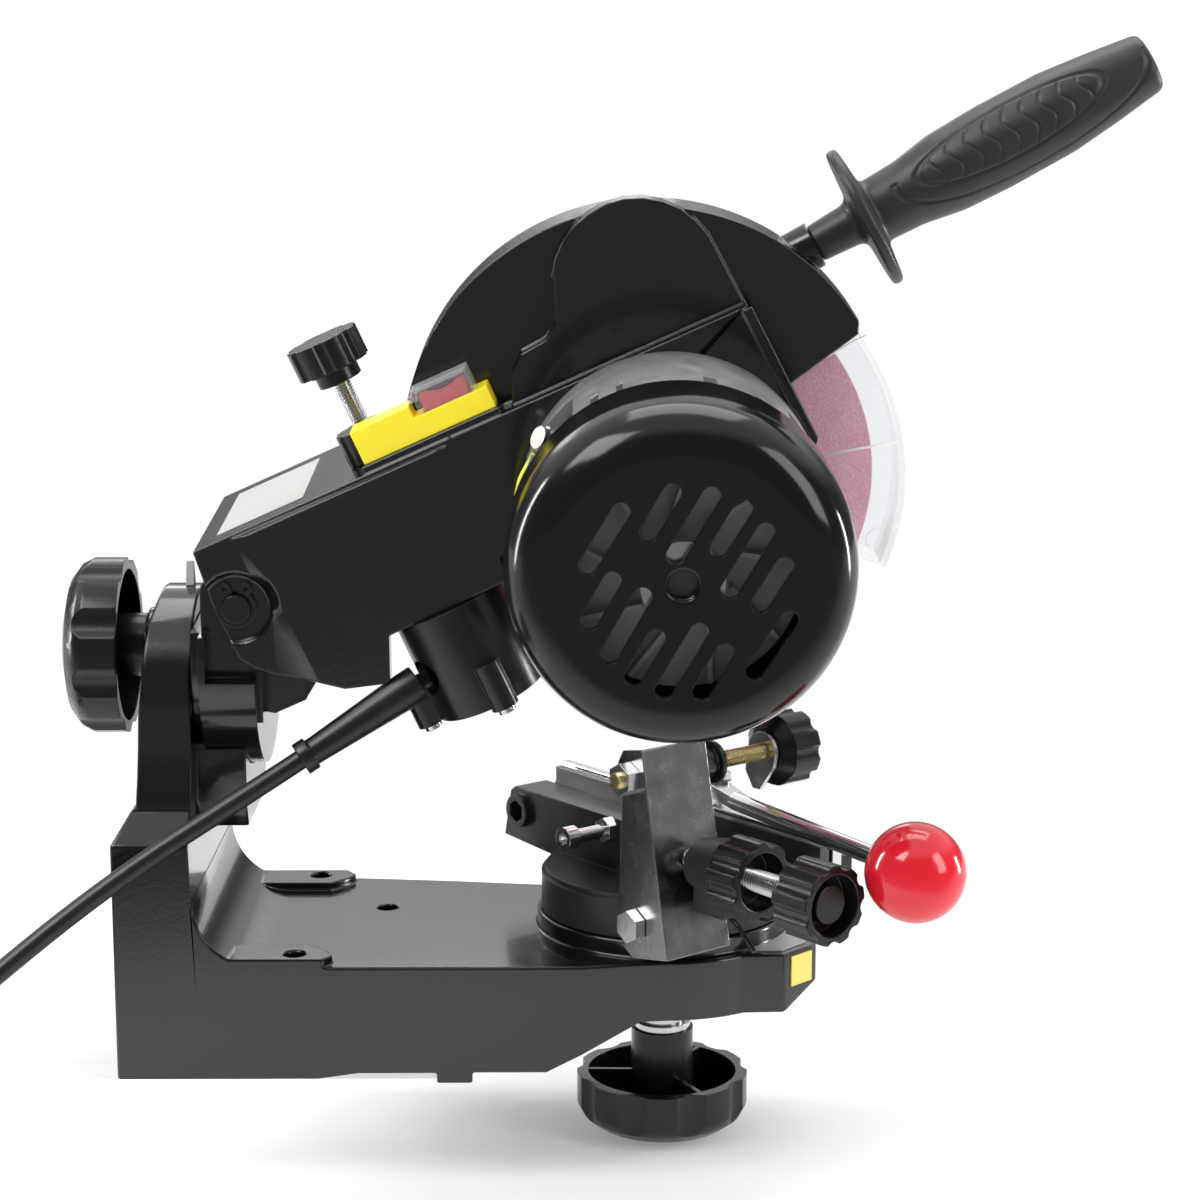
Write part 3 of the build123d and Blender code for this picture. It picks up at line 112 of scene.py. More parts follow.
# %% Signals and nodes
class Signal:
    def __init__(self, tree, socket):
        self.tree = tree
        self.socket = socket

    def math(self, operation, left, right):
        return node(self.tree, "Math", {"operation": operation}, {0: left, 1: right})

    def __add__(self, other):
        return self.math("ADD", self, other)

    def __radd__(self, other):
        return self.math("ADD", other, self)

    def __sub__(self, other):
        return self.math("SUBTRACT", self, other)

    def __rsub__(self, other):
        return self.math("SUBTRACT", other, self)

    def __mul__(self, other):
        return self.math("MULTIPLY", self, other)


def node(tree, kind, settings=None, values=None, out=0):
    made = tree.nodes.new("ShaderNode" + kind)
    for name, value in (settings or {}).items():
        if name == "stops":
            ramp = made.color_ramp
            ramp.elements[0].position, ramp.elements[0].color = value[0]
            ramp.elements[1].position, ramp.elements[1].color = value[-1]
            for place, color in value[1:-1]:
                ramp.elements.new(place).color = color
        else:
            setattr(made, name, value)
    for name, value in (values or {}).items():
        if isinstance(value, Signal):
            tree.links.new(value.socket, made.inputs[name])
        else:
            made.inputs[name].default_value = value
    return Signal(tree, made.outputs[out]) if made.outputs else None


def new_material(name):
    material = bpy.data.materials.new(name)
    material.use_nodes = True
    material.node_tree.nodes.clear()
    return material, material.node_tree


def place_of(tree):
    """Object coordinates, in metres, which a CAD node's own mesh carries."""
    return node(tree, "TexCoord", out="Object")


def noise(tree, size, detail=4.0, rough=0.55):
    """Noise from 0 to 1 whose features are about size millimetres wide."""
    return node(tree, "TexNoise", None, {"Vector": place_of(tree), "Scale": 1 / (size * MM),
                                         "Detail": detail, "Roughness": rough})


def mixed(tree, factor, first, second):
    return node(tree, "Mix", {"data_type": "RGBA"}, {"Factor": factor, 6: first, 7: second}, out=2)


def finish_surface(tree, base, rough, height=None, depth=0.1, edge=0.5, **more):
    """Principled surface with rounded edges and an optional bump. Depth and edge are in
    millimetres, and more holds further sockets with underscores for spaces."""
    normal = node(tree, "Bevel", {"samples": 4}, {"Radius": edge * MM})
    if height is not None:
        normal = node(tree, "Bump", None, {"Strength": 1.0, "Distance": depth * MM, "Height": height,
                                           "Normal": normal})
    values = {"Base Color": base, "Roughness": rough, "Normal": normal}
    values.update({name.replace("_", " "): value for name, value in more.items()})
    surface = node(tree, "BsdfPrincipled", None, values)
    node(tree, "OutputMaterial", None, {"Surface": surface})


# %% [markdown]
# ## The stage
# The machine stands on a thin board, with its lower knob hanging over the edge and resting on a pale
# floor. To the camera, and to metal and glass, both turn into plain white away from the machine, and
# near it they keep its soft shadow.

# %% Board and floor
SHADOW_MIDDLE = (0.06, 0.0, -0.02)
SHADOW_NEAR, SHADOW_FAR, SHADOW_SHARE = 0.24, 0.52, 0.80
DARK_FRONT, DARK_END, DARK_SHARE = -0.45, -0.12, 0.75
BOARD_LEFT, BOARD_FRONT, BOARD_END, BOARD_BACK = -0.40, -0.039, 0.049, 0.30
BOARD_LOW, BOARD_TOP = -0.006, -0.0002
WING_FRONT, WING_END = -0.17, -0.125
FLOOR_Z = -0.0392


def pale_ground():
    """White to the camera away from the machine, and darker in front to what mirrors it."""
    material, tree = new_material("pale_ground")
    rays = tree.nodes.new("ShaderNodeLightPath").outputs
    seen = Signal(tree, rays["Is Camera Ray"]) + Signal(tree, rays["Is Glossy Ray"])
    seen = seen + Signal(tree, rays["Is Transmission Ray"])
    offset = node(tree, "VectorMath", {"operation": "SUBTRACT"}, {0: place_of(tree), 1: SHADOW_MIDDLE})
    away = node(tree, "VectorMath", {"operation": "LENGTH"}, {0: offset}, out=1)
    near = node(tree, "MapRange", {"interpolation_type": "SMOOTHSTEP"},
                {"Value": away, "From Min": SHADOW_NEAR, "From Max": SHADOW_FAR,
                 "To Min": SHADOW_SHARE, "To Max": 0.0})
    back = node(tree, "SeparateXYZ", None, {"Vector": place_of(tree)}, out=1)
    front = node(tree, "MapRange", {"interpolation_type": "SMOOTHSTEP"},
                 {"Value": back, "From Min": DARK_FRONT, "From Max": DARK_END,
                  "To Min": DARK_SHARE, "To Max": 0.0})
    matte = node(tree, "BsdfDiffuse", None, {"Color": (0.96, 0.96, 0.96, 1)})
    glow = 1 - front * Signal(tree, rays["Is Glossy Ray"])
    white = node(tree, "Emission", None, {"Color": (1, 1, 1, 1), "Strength": glow})
    surface = node(tree, "MixShader", None, {0: seen * (1 - near), 1: matte, 2: white})
    node(tree, "OutputMaterial", None, {"Surface": surface})
    return material


def finished(name, bm, material, smooth=False, place=None):
    """Writes a bmesh to an object at the origin, with its place in the mesh."""
    if place is not None:
        bmesh.ops.transform(bm, matrix=place, verts=bm.verts)
    bmesh.ops.recalc_face_normals(bm, faces=bm.faces)
    for face in bm.faces:
        face.smooth = smooth
    mesh = bpy.data.meshes.new(name)
    bm.to_mesh(mesh)
    bm.free()
    mesh.materials.append(material)
    made = bpy.data.objects.new(name, mesh)
    bpy.context.scene.collection.objects.link(made)
    return made


def slab_of(name, low, high, material):
    bm = bmesh.new()
    bmesh.ops.create_cube(bm, size=1.0)
    size = Vector(high) - Vector(low)
    bmesh.ops.scale(bm, verts=bm.verts, vec=size)
    bmesh.ops.translate(bm, verts=bm.verts, vec=(Vector(high) + Vector(low)) / 2)
    return finished(name, bm, material)


ground = pale_ground()
board = slab_of("board", (BOARD_LEFT, BOARD_FRONT, BOARD_LOW), (BOARD_END, BOARD_BACK, BOARD_TOP),
                ground)
wing = slab_of("board_wing", (BOARD_LEFT, WING_FRONT, BOARD_LOW), (WING_END, BOARD_FRONT, BOARD_TOP),
               ground)
for piece in (board, wing):
    piece.visible_shadow = False
    print(piece.name, "is", [round(size, 3) for size in piece.dimensions], "m")
slab_of("floor", (-3.0, -3.0, FLOOR_Z - 0.02), (3.0, 3.0, FLOOR_Z), ground)

# %% [markdown]
# ## Light
# Soft lamps stand above on the left, on the right and behind, in a pale world. Two narrow strips draw
# bright lines on rounded enamel, and a panel behind lights the tops that are seen at a flat angle.
# Black enamel shows mostly what it mirrors. The world that it mirrors is therefore white behind and
# above the machine and dark in front of it, which keeps its flanks black and its edges bright.

# %% Lamps and world
def soft_lamp(name, place, target, size, power):
    lamp = bpy.data.objects.new(name, bpy.data.lights.new(name, "AREA"))
    lamp.data.shape = "RECTANGLE"
    lamp.data.size, lamp.data.size_y = size
    lamp.data.energy = power
    lamp.location = place
    lamp.rotation_euler = (Vector(target) - Vector(place)).to_track_quat("-Z", "Y").to_euler()
    bpy.context.scene.collection.objects.link(lamp)


soft_lamp("key_lamp", (-0.9, -0.7, 1.5), (0.08, 0, 0.12), (1.0, 0.7), 17)
soft_lamp("side_lamp", (1.3, -0.8, 0.8), (0.1, 0, 0.15), (0.5, 1.0), 8)
soft_lamp("top_lamp", (0.2, 0.5, 1.6), (0.1, 0, 0.1), (1.2, 0.8), 10)
soft_lamp("left_strip", (-1.3, 0.35, 0.45), (0.1, 0, 0.15), (0.10, 0.9), 11)
soft_lamp("right_strip", (1.45, 0.30, 0.10), (0.1, 0, 0.15), (0.10, 0.7), 11)
soft_lamp("back_panel", (-0.2, 1.45, 0.76), (0, 0, 0.2), (0.9, 0.2), 1.5)

WORLD_LEVEL, WHITE = 0.55, 1.0
ROOM_DARK, ROOM_FROM, ROOM_TO, BACK_WEIGHT = 0.12, 0.40, 0.72, 0.35
world = bpy.data.worlds.new("studio")
bpy.context.scene.world = world
world.use_nodes = True
world.node_tree.nodes.clear()
rays = world.node_tree.nodes.new("ShaderNodeLightPath").outputs
seen = Signal(world.node_tree, rays["Is Camera Ray"])
mirrored = Signal(world.node_tree, rays["Is Glossy Ray"])
direction = node(world.node_tree, "TexCoord", out="Generated")
backward = node(world.node_tree, "SeparateXYZ", None, {"Vector": direction}, out=1)
upward = node(world.node_tree, "SeparateXYZ", None, {"Vector": direction}, out=2)
room = node(world.node_tree, "MapRange", {"interpolation_type": "SMOOTHSTEP"},
            {"Value": upward + backward * BACK_WEIGHT, "From Min": ROOM_FROM, "From Max": ROOM_TO,
             "To Min": ROOM_DARK, "To Max": WHITE})
strength = WORLD_LEVEL + seen * (WHITE - WORLD_LEVEL) + mirrored * (room - WORLD_LEVEL)
sky = node(world.node_tree, "Background", None, {"Color": (1, 1, 1, 1), "Strength": strength})
node(world.node_tree, "OutputWorld", None, {"Surface": sky})


# %% [markdown]
# ## Finishes
# Cast pieces have glossy enamel with the faint orange peel of a sprayed coat. Moulded knobs are duller
# and finely grained. Metals differ in how they were made: die-cast, zinc plated or blackened.

# %% Enamel and plastics
def enamel():
    material, tree = new_material("black_enamel")
    patches = noise(tree, 60, 2.0)
    peel = noise(tree, 2.2, 2.0) + noise(tree, 0.7, 1.0) * 0.3
    color = mixed(tree, patches, (0.004, 0.004, 0.0045, 1), (0.008, 0.008, 0.0085, 1))
    finish_surface(tree, color, 0.10 + patches * 0.14, peel, depth=0.05, edge=0.9, Coat_Weight=0.4,
                   Coat_Roughness=0.05, Specular_IOR_Level=0.5)
    return material


def moulded(name, dark, light, rough, grain=1.2, depth=0.03, edge=0.5, **more):
    """Plastic or rubber with broad clouds of tone and a fine grain; sizes in millimetres."""
    material, tree = new_material(name)
    cloud = noise(tree, 25, 3.0)
    fine = noise(tree, grain, 2.0)
    color = mixed(tree, cloud, dark, light)
    finish_surface(tree, color, rough + cloud * 0.12 - 0.06, fine, depth, edge, **more)
    return material


def metal(name, dark, light, rough, spread, size=14.0, depth=0.02, grain=1.5, edge=0.4, metallic=1.0):
    """Metal whose roughness varies by spread in clouds that are size millimetres wide."""
    material, tree = new_material(name)
    cloud = noise(tree, size, 5.0, 0.65)
    fine = noise(tree, grain, 3.0)
    color = mixed(tree, cloud, dark, light)
    finish_surface(tree, color, rough + (cloud - 0.5) * spread, fine, depth, edge, Metallic=metallic)
    return material


BLACK = (0.005, 0.005, 0.0055, 1)
SOOT = (0.010, 0.010, 0.0105, 1)
finishes = {
    "black_enamel": enamel(),
    "black_plastic": moulded("black_plastic", BLACK, SOOT, 0.24, Specular_IOR_Level=0.42),
    "cap_gloss": moulded("cap_gloss", BLACK, (0.007, 0.007, 0.0075, 1), 0.14,
                         grain=6.0, depth=0.01, edge=0.8, Specular_IOR_Level=0.36),
    "grip_plastic": moulded("grip_plastic", (0.016, 0.016, 0.0165, 1), (0.024, 0.024, 0.0245, 1), 0.42,
                            grain=0.6, depth=0.05),
    "yellow_plastic": moulded("yellow_plastic", (0.95, 0.78, 0.012, 1), (0.99, 0.83, 0.02, 1), 0.36,
                              grain=0.8, depth=0.02),
    "red_rocker": moulded("red_rocker", (0.58, 0.06, 0.08, 1), (0.66, 0.08, 0.10, 1), 0.30),
    "red_ball": moulded("red_ball", (0.66, 0.010, 0.024, 1), (0.71, 0.015, 0.031, 1), 0.14,
                        grain=3.0, depth=0.01, edge=0.4, Coat_Weight=0.3, Coat_Roughness=0.04),
    "white_label": moulded("white_label", (0.44, 0.44, 0.43, 1), (0.50, 0.50, 0.49, 1), 0.40,
                           grain=3.0, depth=0.01),
    "yellow_label": moulded("yellow_label", (0.80, 0.62, 0.12, 1), (0.86, 0.68, 0.16, 1), 0.35,
                            grain=3.0, depth=0.01),
    "cord_rubber": moulded("cord_rubber", (0.007, 0.007, 0.0075, 1), (0.012, 0.012, 0.0125, 1), 0.34,
                           grain=1.0, depth=0.03),
    "wire_sheath": moulded("wire_sheath", (0.62, 0.70, 0.03, 1), (0.75, 0.78, 0.06, 1), 0.40),
    "cast_aluminium": metal("cast_aluminium", (0.44, 0.44, 0.45, 1), (0.72, 0.72, 0.73, 1), 0.34, 0.20,
                            size=10.0, depth=0.04, metallic=0.8),
    "zinc_steel": metal("zinc_steel", (0.48, 0.48, 0.49, 1), (0.72, 0.72, 0.72, 1), 0.22, 0.25,
                        size=7.0, depth=0.02),
    "bracket_zinc": metal("bracket_zinc", (0.20, 0.20, 0.20, 1), (0.36, 0.36, 0.36, 1), 0.26, 0.16,
                          size=9.0, depth=0.01, grain=3.0),
    "chrome": metal("chrome", (0.78, 0.78, 0.79, 1), (0.86, 0.86, 0.87, 1), 0.16, 0.08,
                    size=20.0, depth=0.004),
    "rail_steel": metal("rail_steel", (0.07, 0.07, 0.07, 1), (0.13, 0.13, 0.13, 1), 0.30, 0.12,
                        size=12.0, depth=0.01, metallic=0.7),
    "fan_plastic": moulded("fan_plastic", (0.32, 0.32, 0.32, 1), (0.42, 0.42, 0.42, 1), 0.4),
    "vise_black": moulded("vise_black", (0.012, 0.012, 0.0125, 1), (0.030, 0.030, 0.031, 1), 0.34,
                          grain=2.0, depth=0.05, edge=0.8, Specular_IOR_Level=0.3),
    "yellow_zinc": metal("yellow_zinc", (0.55, 0.42, 0.18, 1), (0.80, 0.68, 0.36, 1), 0.28, 0.2),
    "dark_steel": metal("dark_steel", (0.05, 0.05, 0.05, 1), (0.14, 0.14, 0.14, 1), 0.34, 0.2),
    "core_steel": metal("core_steel", (0.10, 0.09, 0.08, 1), (0.28, 0.24, 0.20, 1), 0.50, 0.2),
}
print("finishes", len(finishes))


# %% [markdown]
# ## Grinding wheel and clear plastic
# The wheel is pink grit held by a paler bond: Voronoi cells give each grain its own tone and height.
# The guard and the switch cover are clear sheet, which is almost invisible face on and whitens where
# it is seen edge on.

# %% Grit and clear sheet
GRAIN = 0.9
THIN_HAZE, EDGE_HAZE = 0.05, 0.5


def grit():
    material, tree = new_material("abrasive_pink")
    cells = node(tree, "TexVoronoi", {"feature": "F1"},
                 {"Vector": place_of(tree), "Scale": 1 / (GRAIN * MM)}, out="Distance")
    cloud = noise(tree, 9, 3.0)
    tone = cells * 0.6 + cloud * 0.5
    color = mixed(tree, tone, (0.56, 0.17, 0.28, 1), (0.84, 0.48, 0.58, 1))
    finish_surface(tree, color, 0.85, cells, depth=0.18, edge=0.3)
    return material


def clear_sheet(name, haze):
    """Sheet that lets light straight through, apart from haze and what is seen edge on."""
    material, tree = new_material(name)
    facing = node(tree, "LayerWeight", None, {"Blend": 0.35}, out="Facing")
    solid = node(tree, "BsdfPrincipled", None, {"Base Color": (0.93, 0.94, 0.95, 1),
                                                "Roughness": 0.12, "Specular IOR Level": 0.6})
    through = node(tree, "BsdfTransparent", None, {"Color": (0.97, 0.975, 0.98, 1)})
    surface = node(tree, "MixShader", None, {0: haze + facing * 0.45, 1: through, 2: solid})
    node(tree, "OutputMaterial", None, {"Surface": surface})
    return material


finishes["abrasive_pink"] = grit()
finishes["clear_plastic"] = clear_sheet("clear_plastic", THIN_HAZE)
finishes["clear_edge"] = clear_sheet("clear_edge", EDGE_HAZE)
OWN_FINISH = {"vise_body": "vise_black", "stop_bracket": "bracket_zinc", "cam_lever": "chrome",
              "rail_fixed": "rail_steel", "rail_moving": "chrome", "cooling_fan": "fan_plastic",
              "pivot_pin": "black_enamel", "retaining_rings": "black_enamel", "rotor_shaft": "dark_steel",
              "jaw_screw": "zinc_steel"}
slot_of = {part["node"]: part["material_slot"] for part in frame["record"]["subparts"]}
for name, slot in slot_of.items():
    piece = frame["nodes"][name]
    piece.data.materials.clear()
    piece.data.materials.append(finishes[OWN_FINISH.get(name, slot)])
print("nodes with a finish", len(slot_of))

# %% [markdown]
# ## Castings and knobs with eased edges
# A cast or moulded piece never has a knife edge. The exact solid is copied, its triangles are merged
# back into whole faces, and a Bevel modifier rounds the sharp edges. Weighted normals then keep the
# flats flat, while arcs shade as smooth curves. The bevel is clamped where edges lie close together,
# except on the four pieces in FREE_BEVEL, which a clamp would leave sharp.

# %% Eased copies
body_of = {name: body for body, names in frame["record"]["behaviour"]["bodies"].items() for name in names}


def eased(name, width, limit=32.0, steps=3, clamped=True):
    """Replaces a node by a copy with edges rounded by width millimetres."""
    bm = bmesh.new()
    bm.from_mesh(frame["nodes"][name].data)
    bmesh.ops.remove_doubles(bm, verts=bm.verts, dist=2e-6)
    bmesh.ops.dissolve_limit(bm, angle_limit=radians(0.5), verts=bm.verts, edges=bm.edges)
    piece = finished(name + "_eased", bm, finishes[OWN_FINISH.get(name, slot_of[name])], smooth=True)
    soften(piece, width, limit, steps, clamped)
    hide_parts(name)
    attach(piece, body_of[name])
    return piece


def soften(piece, width, limit=32.0, steps=3, clamped=True):
    """Marks edges sharper than limit degrees, and rounds them where a width is given."""
    for edge in sharp_edges(piece.data, radians(limit)):
        piece.data.edges[edge].use_edge_sharp = True
    if width:
        bevel = piece.modifiers.new("edges", "BEVEL")
        bevel.width, bevel.segments = width * MM, steps
        bevel.limit_method, bevel.angle_limit = "ANGLE", radians(limit)
        bevel.use_clamp_overlap = clamped
        bevel.miter_outer = "MITER_ARC"
    weighted = piece.modifiers.new("flats", "WEIGHTED_NORMAL")
    weighted.keep_sharp = True


def sharp_edges(mesh, limit):
    """Indices of the open edges and of those whose faces meet at more than limit radians."""
    bm = bmesh.new()
    bm.from_mesh(mesh)
    found = [edge.index for edge in bm.edges
             if len(edge.link_faces) != 2 or edge.calc_face_angle(0.0) > limit]
    bm.free()
    return found


EASED = {
    "base_casting": 0.8, "swivel_bracket": 1.2, "head_casting": 0.5, "outer_guard": 0.5,
    "vise_body": 0.6, "terminal_box": 0.8, "motor_front_bell": 0.25, "tilt_lock_knob": 0.7,
    "vise_lock_knob": 0.7, "depth_knob": 0.4, "depth_lock_nut": 0.4, "adjust_knob": 0.4,
    "adjust_lock_knob": 0.4, "pawl_knob": 0.4, "switch_housing": 0.6, "stop_bracket": 0.35,
    "pawl_spacer": 0.3, "clear_guard": 0.3, "cam_lever": 0.3, "plug": 0.6, "grinding_wheel": 0.3,
    "rail_fixed": 0.25, "rail_moving": 0.25,
}
FREE_BEVEL = ("head_casting", "outer_guard", "base_casting", "stop_bracket")
eased_pieces = {name: eased(name, width, clamped=name not in FREE_BEVEL)
                for name, width in EASED.items()}
for name, piece in eased_pieces.items():
    print(name, "faces", len(piece.data.polygons))

# %% [markdown]
# The label is a bare plate on the arm, a little shorter than the flat that it lies on, and the clear
# guard is stiffened by two radial ribs on its near side.

# %% Label and ribs
LABEL_SHARE = 0.82
GUARD_RIBS = [(173.0, 244.7, 198.5, 258.5), (184.6, 216.3, 210.6, 221.1)]
GUARD_FACE, RIB_R = -13.3, 0.45
label = eased("head_label", 0.0)
bm = bmesh.new()
bm.from_mesh(label.data)
bmesh.ops.transform(bm, matrix=ARM.inverted(), verts=bm.verts)
low_end = min(vert.co.x for vert in bm.verts)
for vert in bm.verts:
    vert.co.x = low_end + (vert.co.x - low_end) * LABEL_SHARE
bmesh.ops.transform(bm, matrix=ARM, verts=bm.verts)
bm.to_mesh(label.data)
bm.free()

bm = bmesh.new()
for x0, z0, x1, z1 in GUARD_RIBS:
    start, end = mm(x0, GUARD_FACE, z0), mm(x1, GUARD_FACE, z1)
    bmesh.ops.create_cone(bm, cap_ends=True, segments=10, radius1=RIB_R * MM, radius2=RIB_R * MM,
                          depth=(end - start).length, matrix=HEAD @ along((start + end) / 2, end - start))
ribs = finished("guard_ribs", bm, finishes["clear_edge"], smooth=True)
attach(ribs, "head")
print("label and", len(GUARD_RIBS), "ribs")

# %% [markdown]
# ## Mains cord
# The cord leaves the strain relief, sags over the base and runs off along the bench to a coil with the
# plug beside it. Its line is one NURBS spline on a few listed points, and the coil's turns are
# more points of that spline: in and out again on each pair of layers, like line on a reel.

# %% Route of the cord
CORD_R, RESTING = 3.5, 3.62
GLAND = (44.5, -39.6, 138.8)
ROUTE = [(-12.0, -55.0, 104.0), (-62.0, -69.0, 74.0), (-112.0, -94.0, 36.0), (-152.0, -112.0, 4.4),
         (-196.0, -117.7, RESTING)]
LEAVING = (Vector(ROUTE[0]) - Vector(GLAND)).normalized()
BOOT_LONG, CORD_INSIDE = 49.0, 9
CORD_START = Vector(GLAND) + LEAVING * (BOOT_LONG - CORD_INSIDE)
COIL = Vector((-204.0, -75.5, 0.0))
COIL_OUT, PITCH, TURNS, LAYERS, PER_TURN = 42.4, 7.15, 6.28, 4, 16
COIL_FROM, CLIMB = radians(-79.3), 0.2


def coil_points():
    """Control points of the turns. The radius falls and rises by PITCH a turn, and the cord steps up
    a layer where it turns back, within CLIMB of a turn."""
    points = []
    per_layer = TURNS / LAYERS
    for i in range(1, int(TURNS * PER_TURN) + 1):
        turn = i / PER_TURN
        layer = min(int(turn / per_layer), LAYERS - 1)
        part = turn - layer * per_layer
        inward = part if layer % 2 == 0 else per_layer - part
        step = lift = 0.0
        if layer < LAYERS - 1:
            step = max(0.0, min(1.0, (part - per_layer + CLIMB / 2) / CLIMB))
        if layer > 0:
            lift = max(0.0, min(1.0, (part + CLIMB / 2) / CLIMB)) - 1.0
        radius = (COIL_OUT - inward * PITCH) / cos(pi / PER_TURN)
        angle = COIL_FROM - 2 * pi * turn
        height = RESTING + (layer + step + lift) * PITCH
        points.append(COIL + Vector((radius * cos(angle), radius * sin(angle), height)))
    return points


PLUG_TAIL = Vector((-222.0, -14.1, 18.25))
tail_run = [Vector((-247.2, -58.0, 25.0)), Vector((-247.2, -34.0, 23.0)),
            Vector((-243.0, -14.1, 19.0)), PLUG_TAIL]
cord_points = [CORD_START] + [Vector(p) for p in ROUTE] + coil_points() + tail_run


def route_curve(points, thick):
    """The route as a NURBS curve: a bare line, or a tube where it is thick."""
    curve = bpy.data.curves.new("route", "CURVE")
    curve.dimensions = "3D"
    curve.resolution_u = 8
    spline = curve.splines.new("NURBS")
    spline.points.add(len(points) - 1)
    for slot, point in zip(spline.points, points):
        slot.co = (*(point * MM), 1.0)
    spline.order_u = 3
    spline.use_endpoint_u = True
    if thick:
        curve.bevel_depth = CORD_R * MM
        curve.bevel_resolution = 4
        curve.use_fill_caps = True
    return bpy.data.objects.new("route", curve)


line = bpy.data.meshes.new_from_object(route_curve(cord_points, False))
tube_mesh = bpy.data.meshes.new_from_object(route_curve(cord_points, True))
bm = bmesh.new()
bm.from_mesh(tube_mesh)
cord = finished("mains_cord", bm, finishes["cord_rubber"], smooth=True)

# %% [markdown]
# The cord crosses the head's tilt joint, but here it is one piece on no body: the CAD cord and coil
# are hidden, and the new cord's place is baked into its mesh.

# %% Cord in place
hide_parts("cord", "cord_coil")
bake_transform(cord)


# %% [markdown]
# ## Strain relief
# A soft rubber boot: a thick root, a long taper and a collar at its tip. It is spun from its outline.

# %% Strain relief
def spun(outline, steps=64):
    """Full turn of (height, radius) points in millimetres about Z."""
    bm = bmesh.new()
    verts = [bm.verts.new(mm(radius, 0, height)) for height, radius in outline]
    edges = [bm.edges.new(pair) for pair in zip(verts, verts[1:])]
    bmesh.ops.spin(bm, geom=verts + edges, cent=(0, 0, 0), axis=(0, 0, 1), angle=2 * pi, steps=steps,
                   use_merge=True)
    bmesh.ops.remove_doubles(bm, verts=bm.verts, dist=1e-6)
    return bm


def cushioned(corners, blend=0.6, steps=3):
    """An outline with each corner eased by a curve that starts blend millimetres before it."""
    points = [corners[0]]
    for a, b, c in zip(corners, corners[1:], corners[2:]):
        a, b, c = Vector(a), Vector(b), Vector(c)
        reach_in = min(blend, (b - a).length / 2)
        reach_out = min(blend, (c - b).length / 2)
        start, end = b + (a - b).normalized() * reach_in, b + (c - b).normalized() * reach_out
        for i in range(steps + 1):
            t = i / steps
            points.append(tuple(start * (1 - t) ** 2 + b * 2 * t * (1 - t) + end * t * t))
    return points + [corners[-1]]


BOOT_CORNERS = [(0.6, 3.6), (0.6, 6.45), (7, 6.45), (43, 4.75), (44.5, 4.75), (44.5, 5.9),
                (BOOT_LONG, 5.9), (BOOT_LONG, 4.3), (48.4, 3.6)]
boot = finished("boot", spun(cushioned(BOOT_CORNERS, 0.5)), finishes["cord_rubber"], True,
                along(Vector(GLAND) * MM, LEAVING))
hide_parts("strain_relief")
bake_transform(boot)
print("boot faces", len(boot.data.polygons))


# %% [markdown]
# ## Ball of the cam lever
# A turned red ball with a small flat round the lever's ferrule.

# %% Ball
def arc_outline(radius, first, last, steps):
    """(height, radius) points of an arc about the origin, angles from the -Z pole."""
    turns = [radians(first + (last - first) * i / steps) for i in range(steps + 1)]
    return [(-radius * cos(a), radius * sin(a)) for a in turns]


BALL_R, BALL_OUT = 16.4, 2 + 13.4
BEND, LEVER_END, LEVER_Z = Vector((38.6, 2.0)), Vector((124.3, -10.3)), 92.6
lever_run = (LEVER_END - BEND).normalized()
lever_dir = VISE.to_3x3() @ Vector((lever_run.y, -lever_run.x, 0))
ball_uv = LEVER_END + lever_run * BALL_OUT
ball_at = VISE @ mm(ball_uv.y + 0.3, -ball_uv.x, LEVER_Z)
ball_outline = [(-12.2, 3.3), (-12.2, 6.2)] + arc_outline(BALL_R, 23.5, 180, 40)
ball = finished("lever_ball_turned", spun(ball_outline, 72), finishes["red_ball"], True,
                along(ball_at, lever_dir))
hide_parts("lever_ball")
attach(ball, "cam")
print("ball faces", len(ball.data.polygons))

# %% [markdown]
# ## Motor cap
# The cap over the motor's rear is a deep pressed bowl with twelve cooling slots that all slope one way.
# The bowl is spun, and the slots are cut by a Boolean with one joined cutter.

# %% Motor cap
WHEEL = (130.7, 207.0)
CAP_R, CAP_Y = 54.4, -109.02
SLOT_R, SLOT_TRIM, SLOT_Y, SLOT_DEEP = 2.9, 2.3, -146, 12
SLOT_SHIFT = Vector((0.5, -0.5))
CAP_SLOTS = [(-18.0, 25.2, -30.2, 4.9), (-2.9, 31.0, -12.1, 14.9), (8.7, 30.0, -4.0, 8.2),
             (18.2, 26.0, 8.9, 10.3), (25.0, 19.1, 12.3, -2.5), (30.8, 8.6, 21.4, -6.9),
             (32.6, -8.3, 20.2, -27.9), (-20.6, 4.2, -29.7, -12.3), (-11.5, -0.7, -23.6, -22.8),
             (-7.4, -13.7, -16.2, -29.8), (5.6, -11.8, -7.0, -33.9), (13.3, -18.3, 4.4, -34.4)]
CAP_CORNERS = [(0.0, 47.1), (0.0, CAP_R - 0.6), (1.0, CAP_R), (25.5, CAP_R), (33, 53.3), (38.6, 50.5),
               (42.2, 46.4), (44.1, 41.8), (44.45, 38.0), (44.45, 4.6), (41.8, 4.6), (41.8, 39),
               (39, 45.7), (34, 49.2), (28, 50.4), (14.2, 50.4), (14.2, 47.1), (0.0, 47.1)]
Z_TO_NEAR = Matrix(((1, 0, 0, 0), (0, 0, -1, 0), (0, 1, 0, 0), (0, 0, 0, 1)))
cap_place = HEAD @ along(mm(WHEEL[0], CAP_Y, WHEEL[1]), (0, -1, 0))
cap = finished("cap_bowl", spun(cushioned(CAP_CORNERS, 2.5, 4), 128), finishes["cap_gloss"], True,
               cap_place)
bm = bmesh.new()
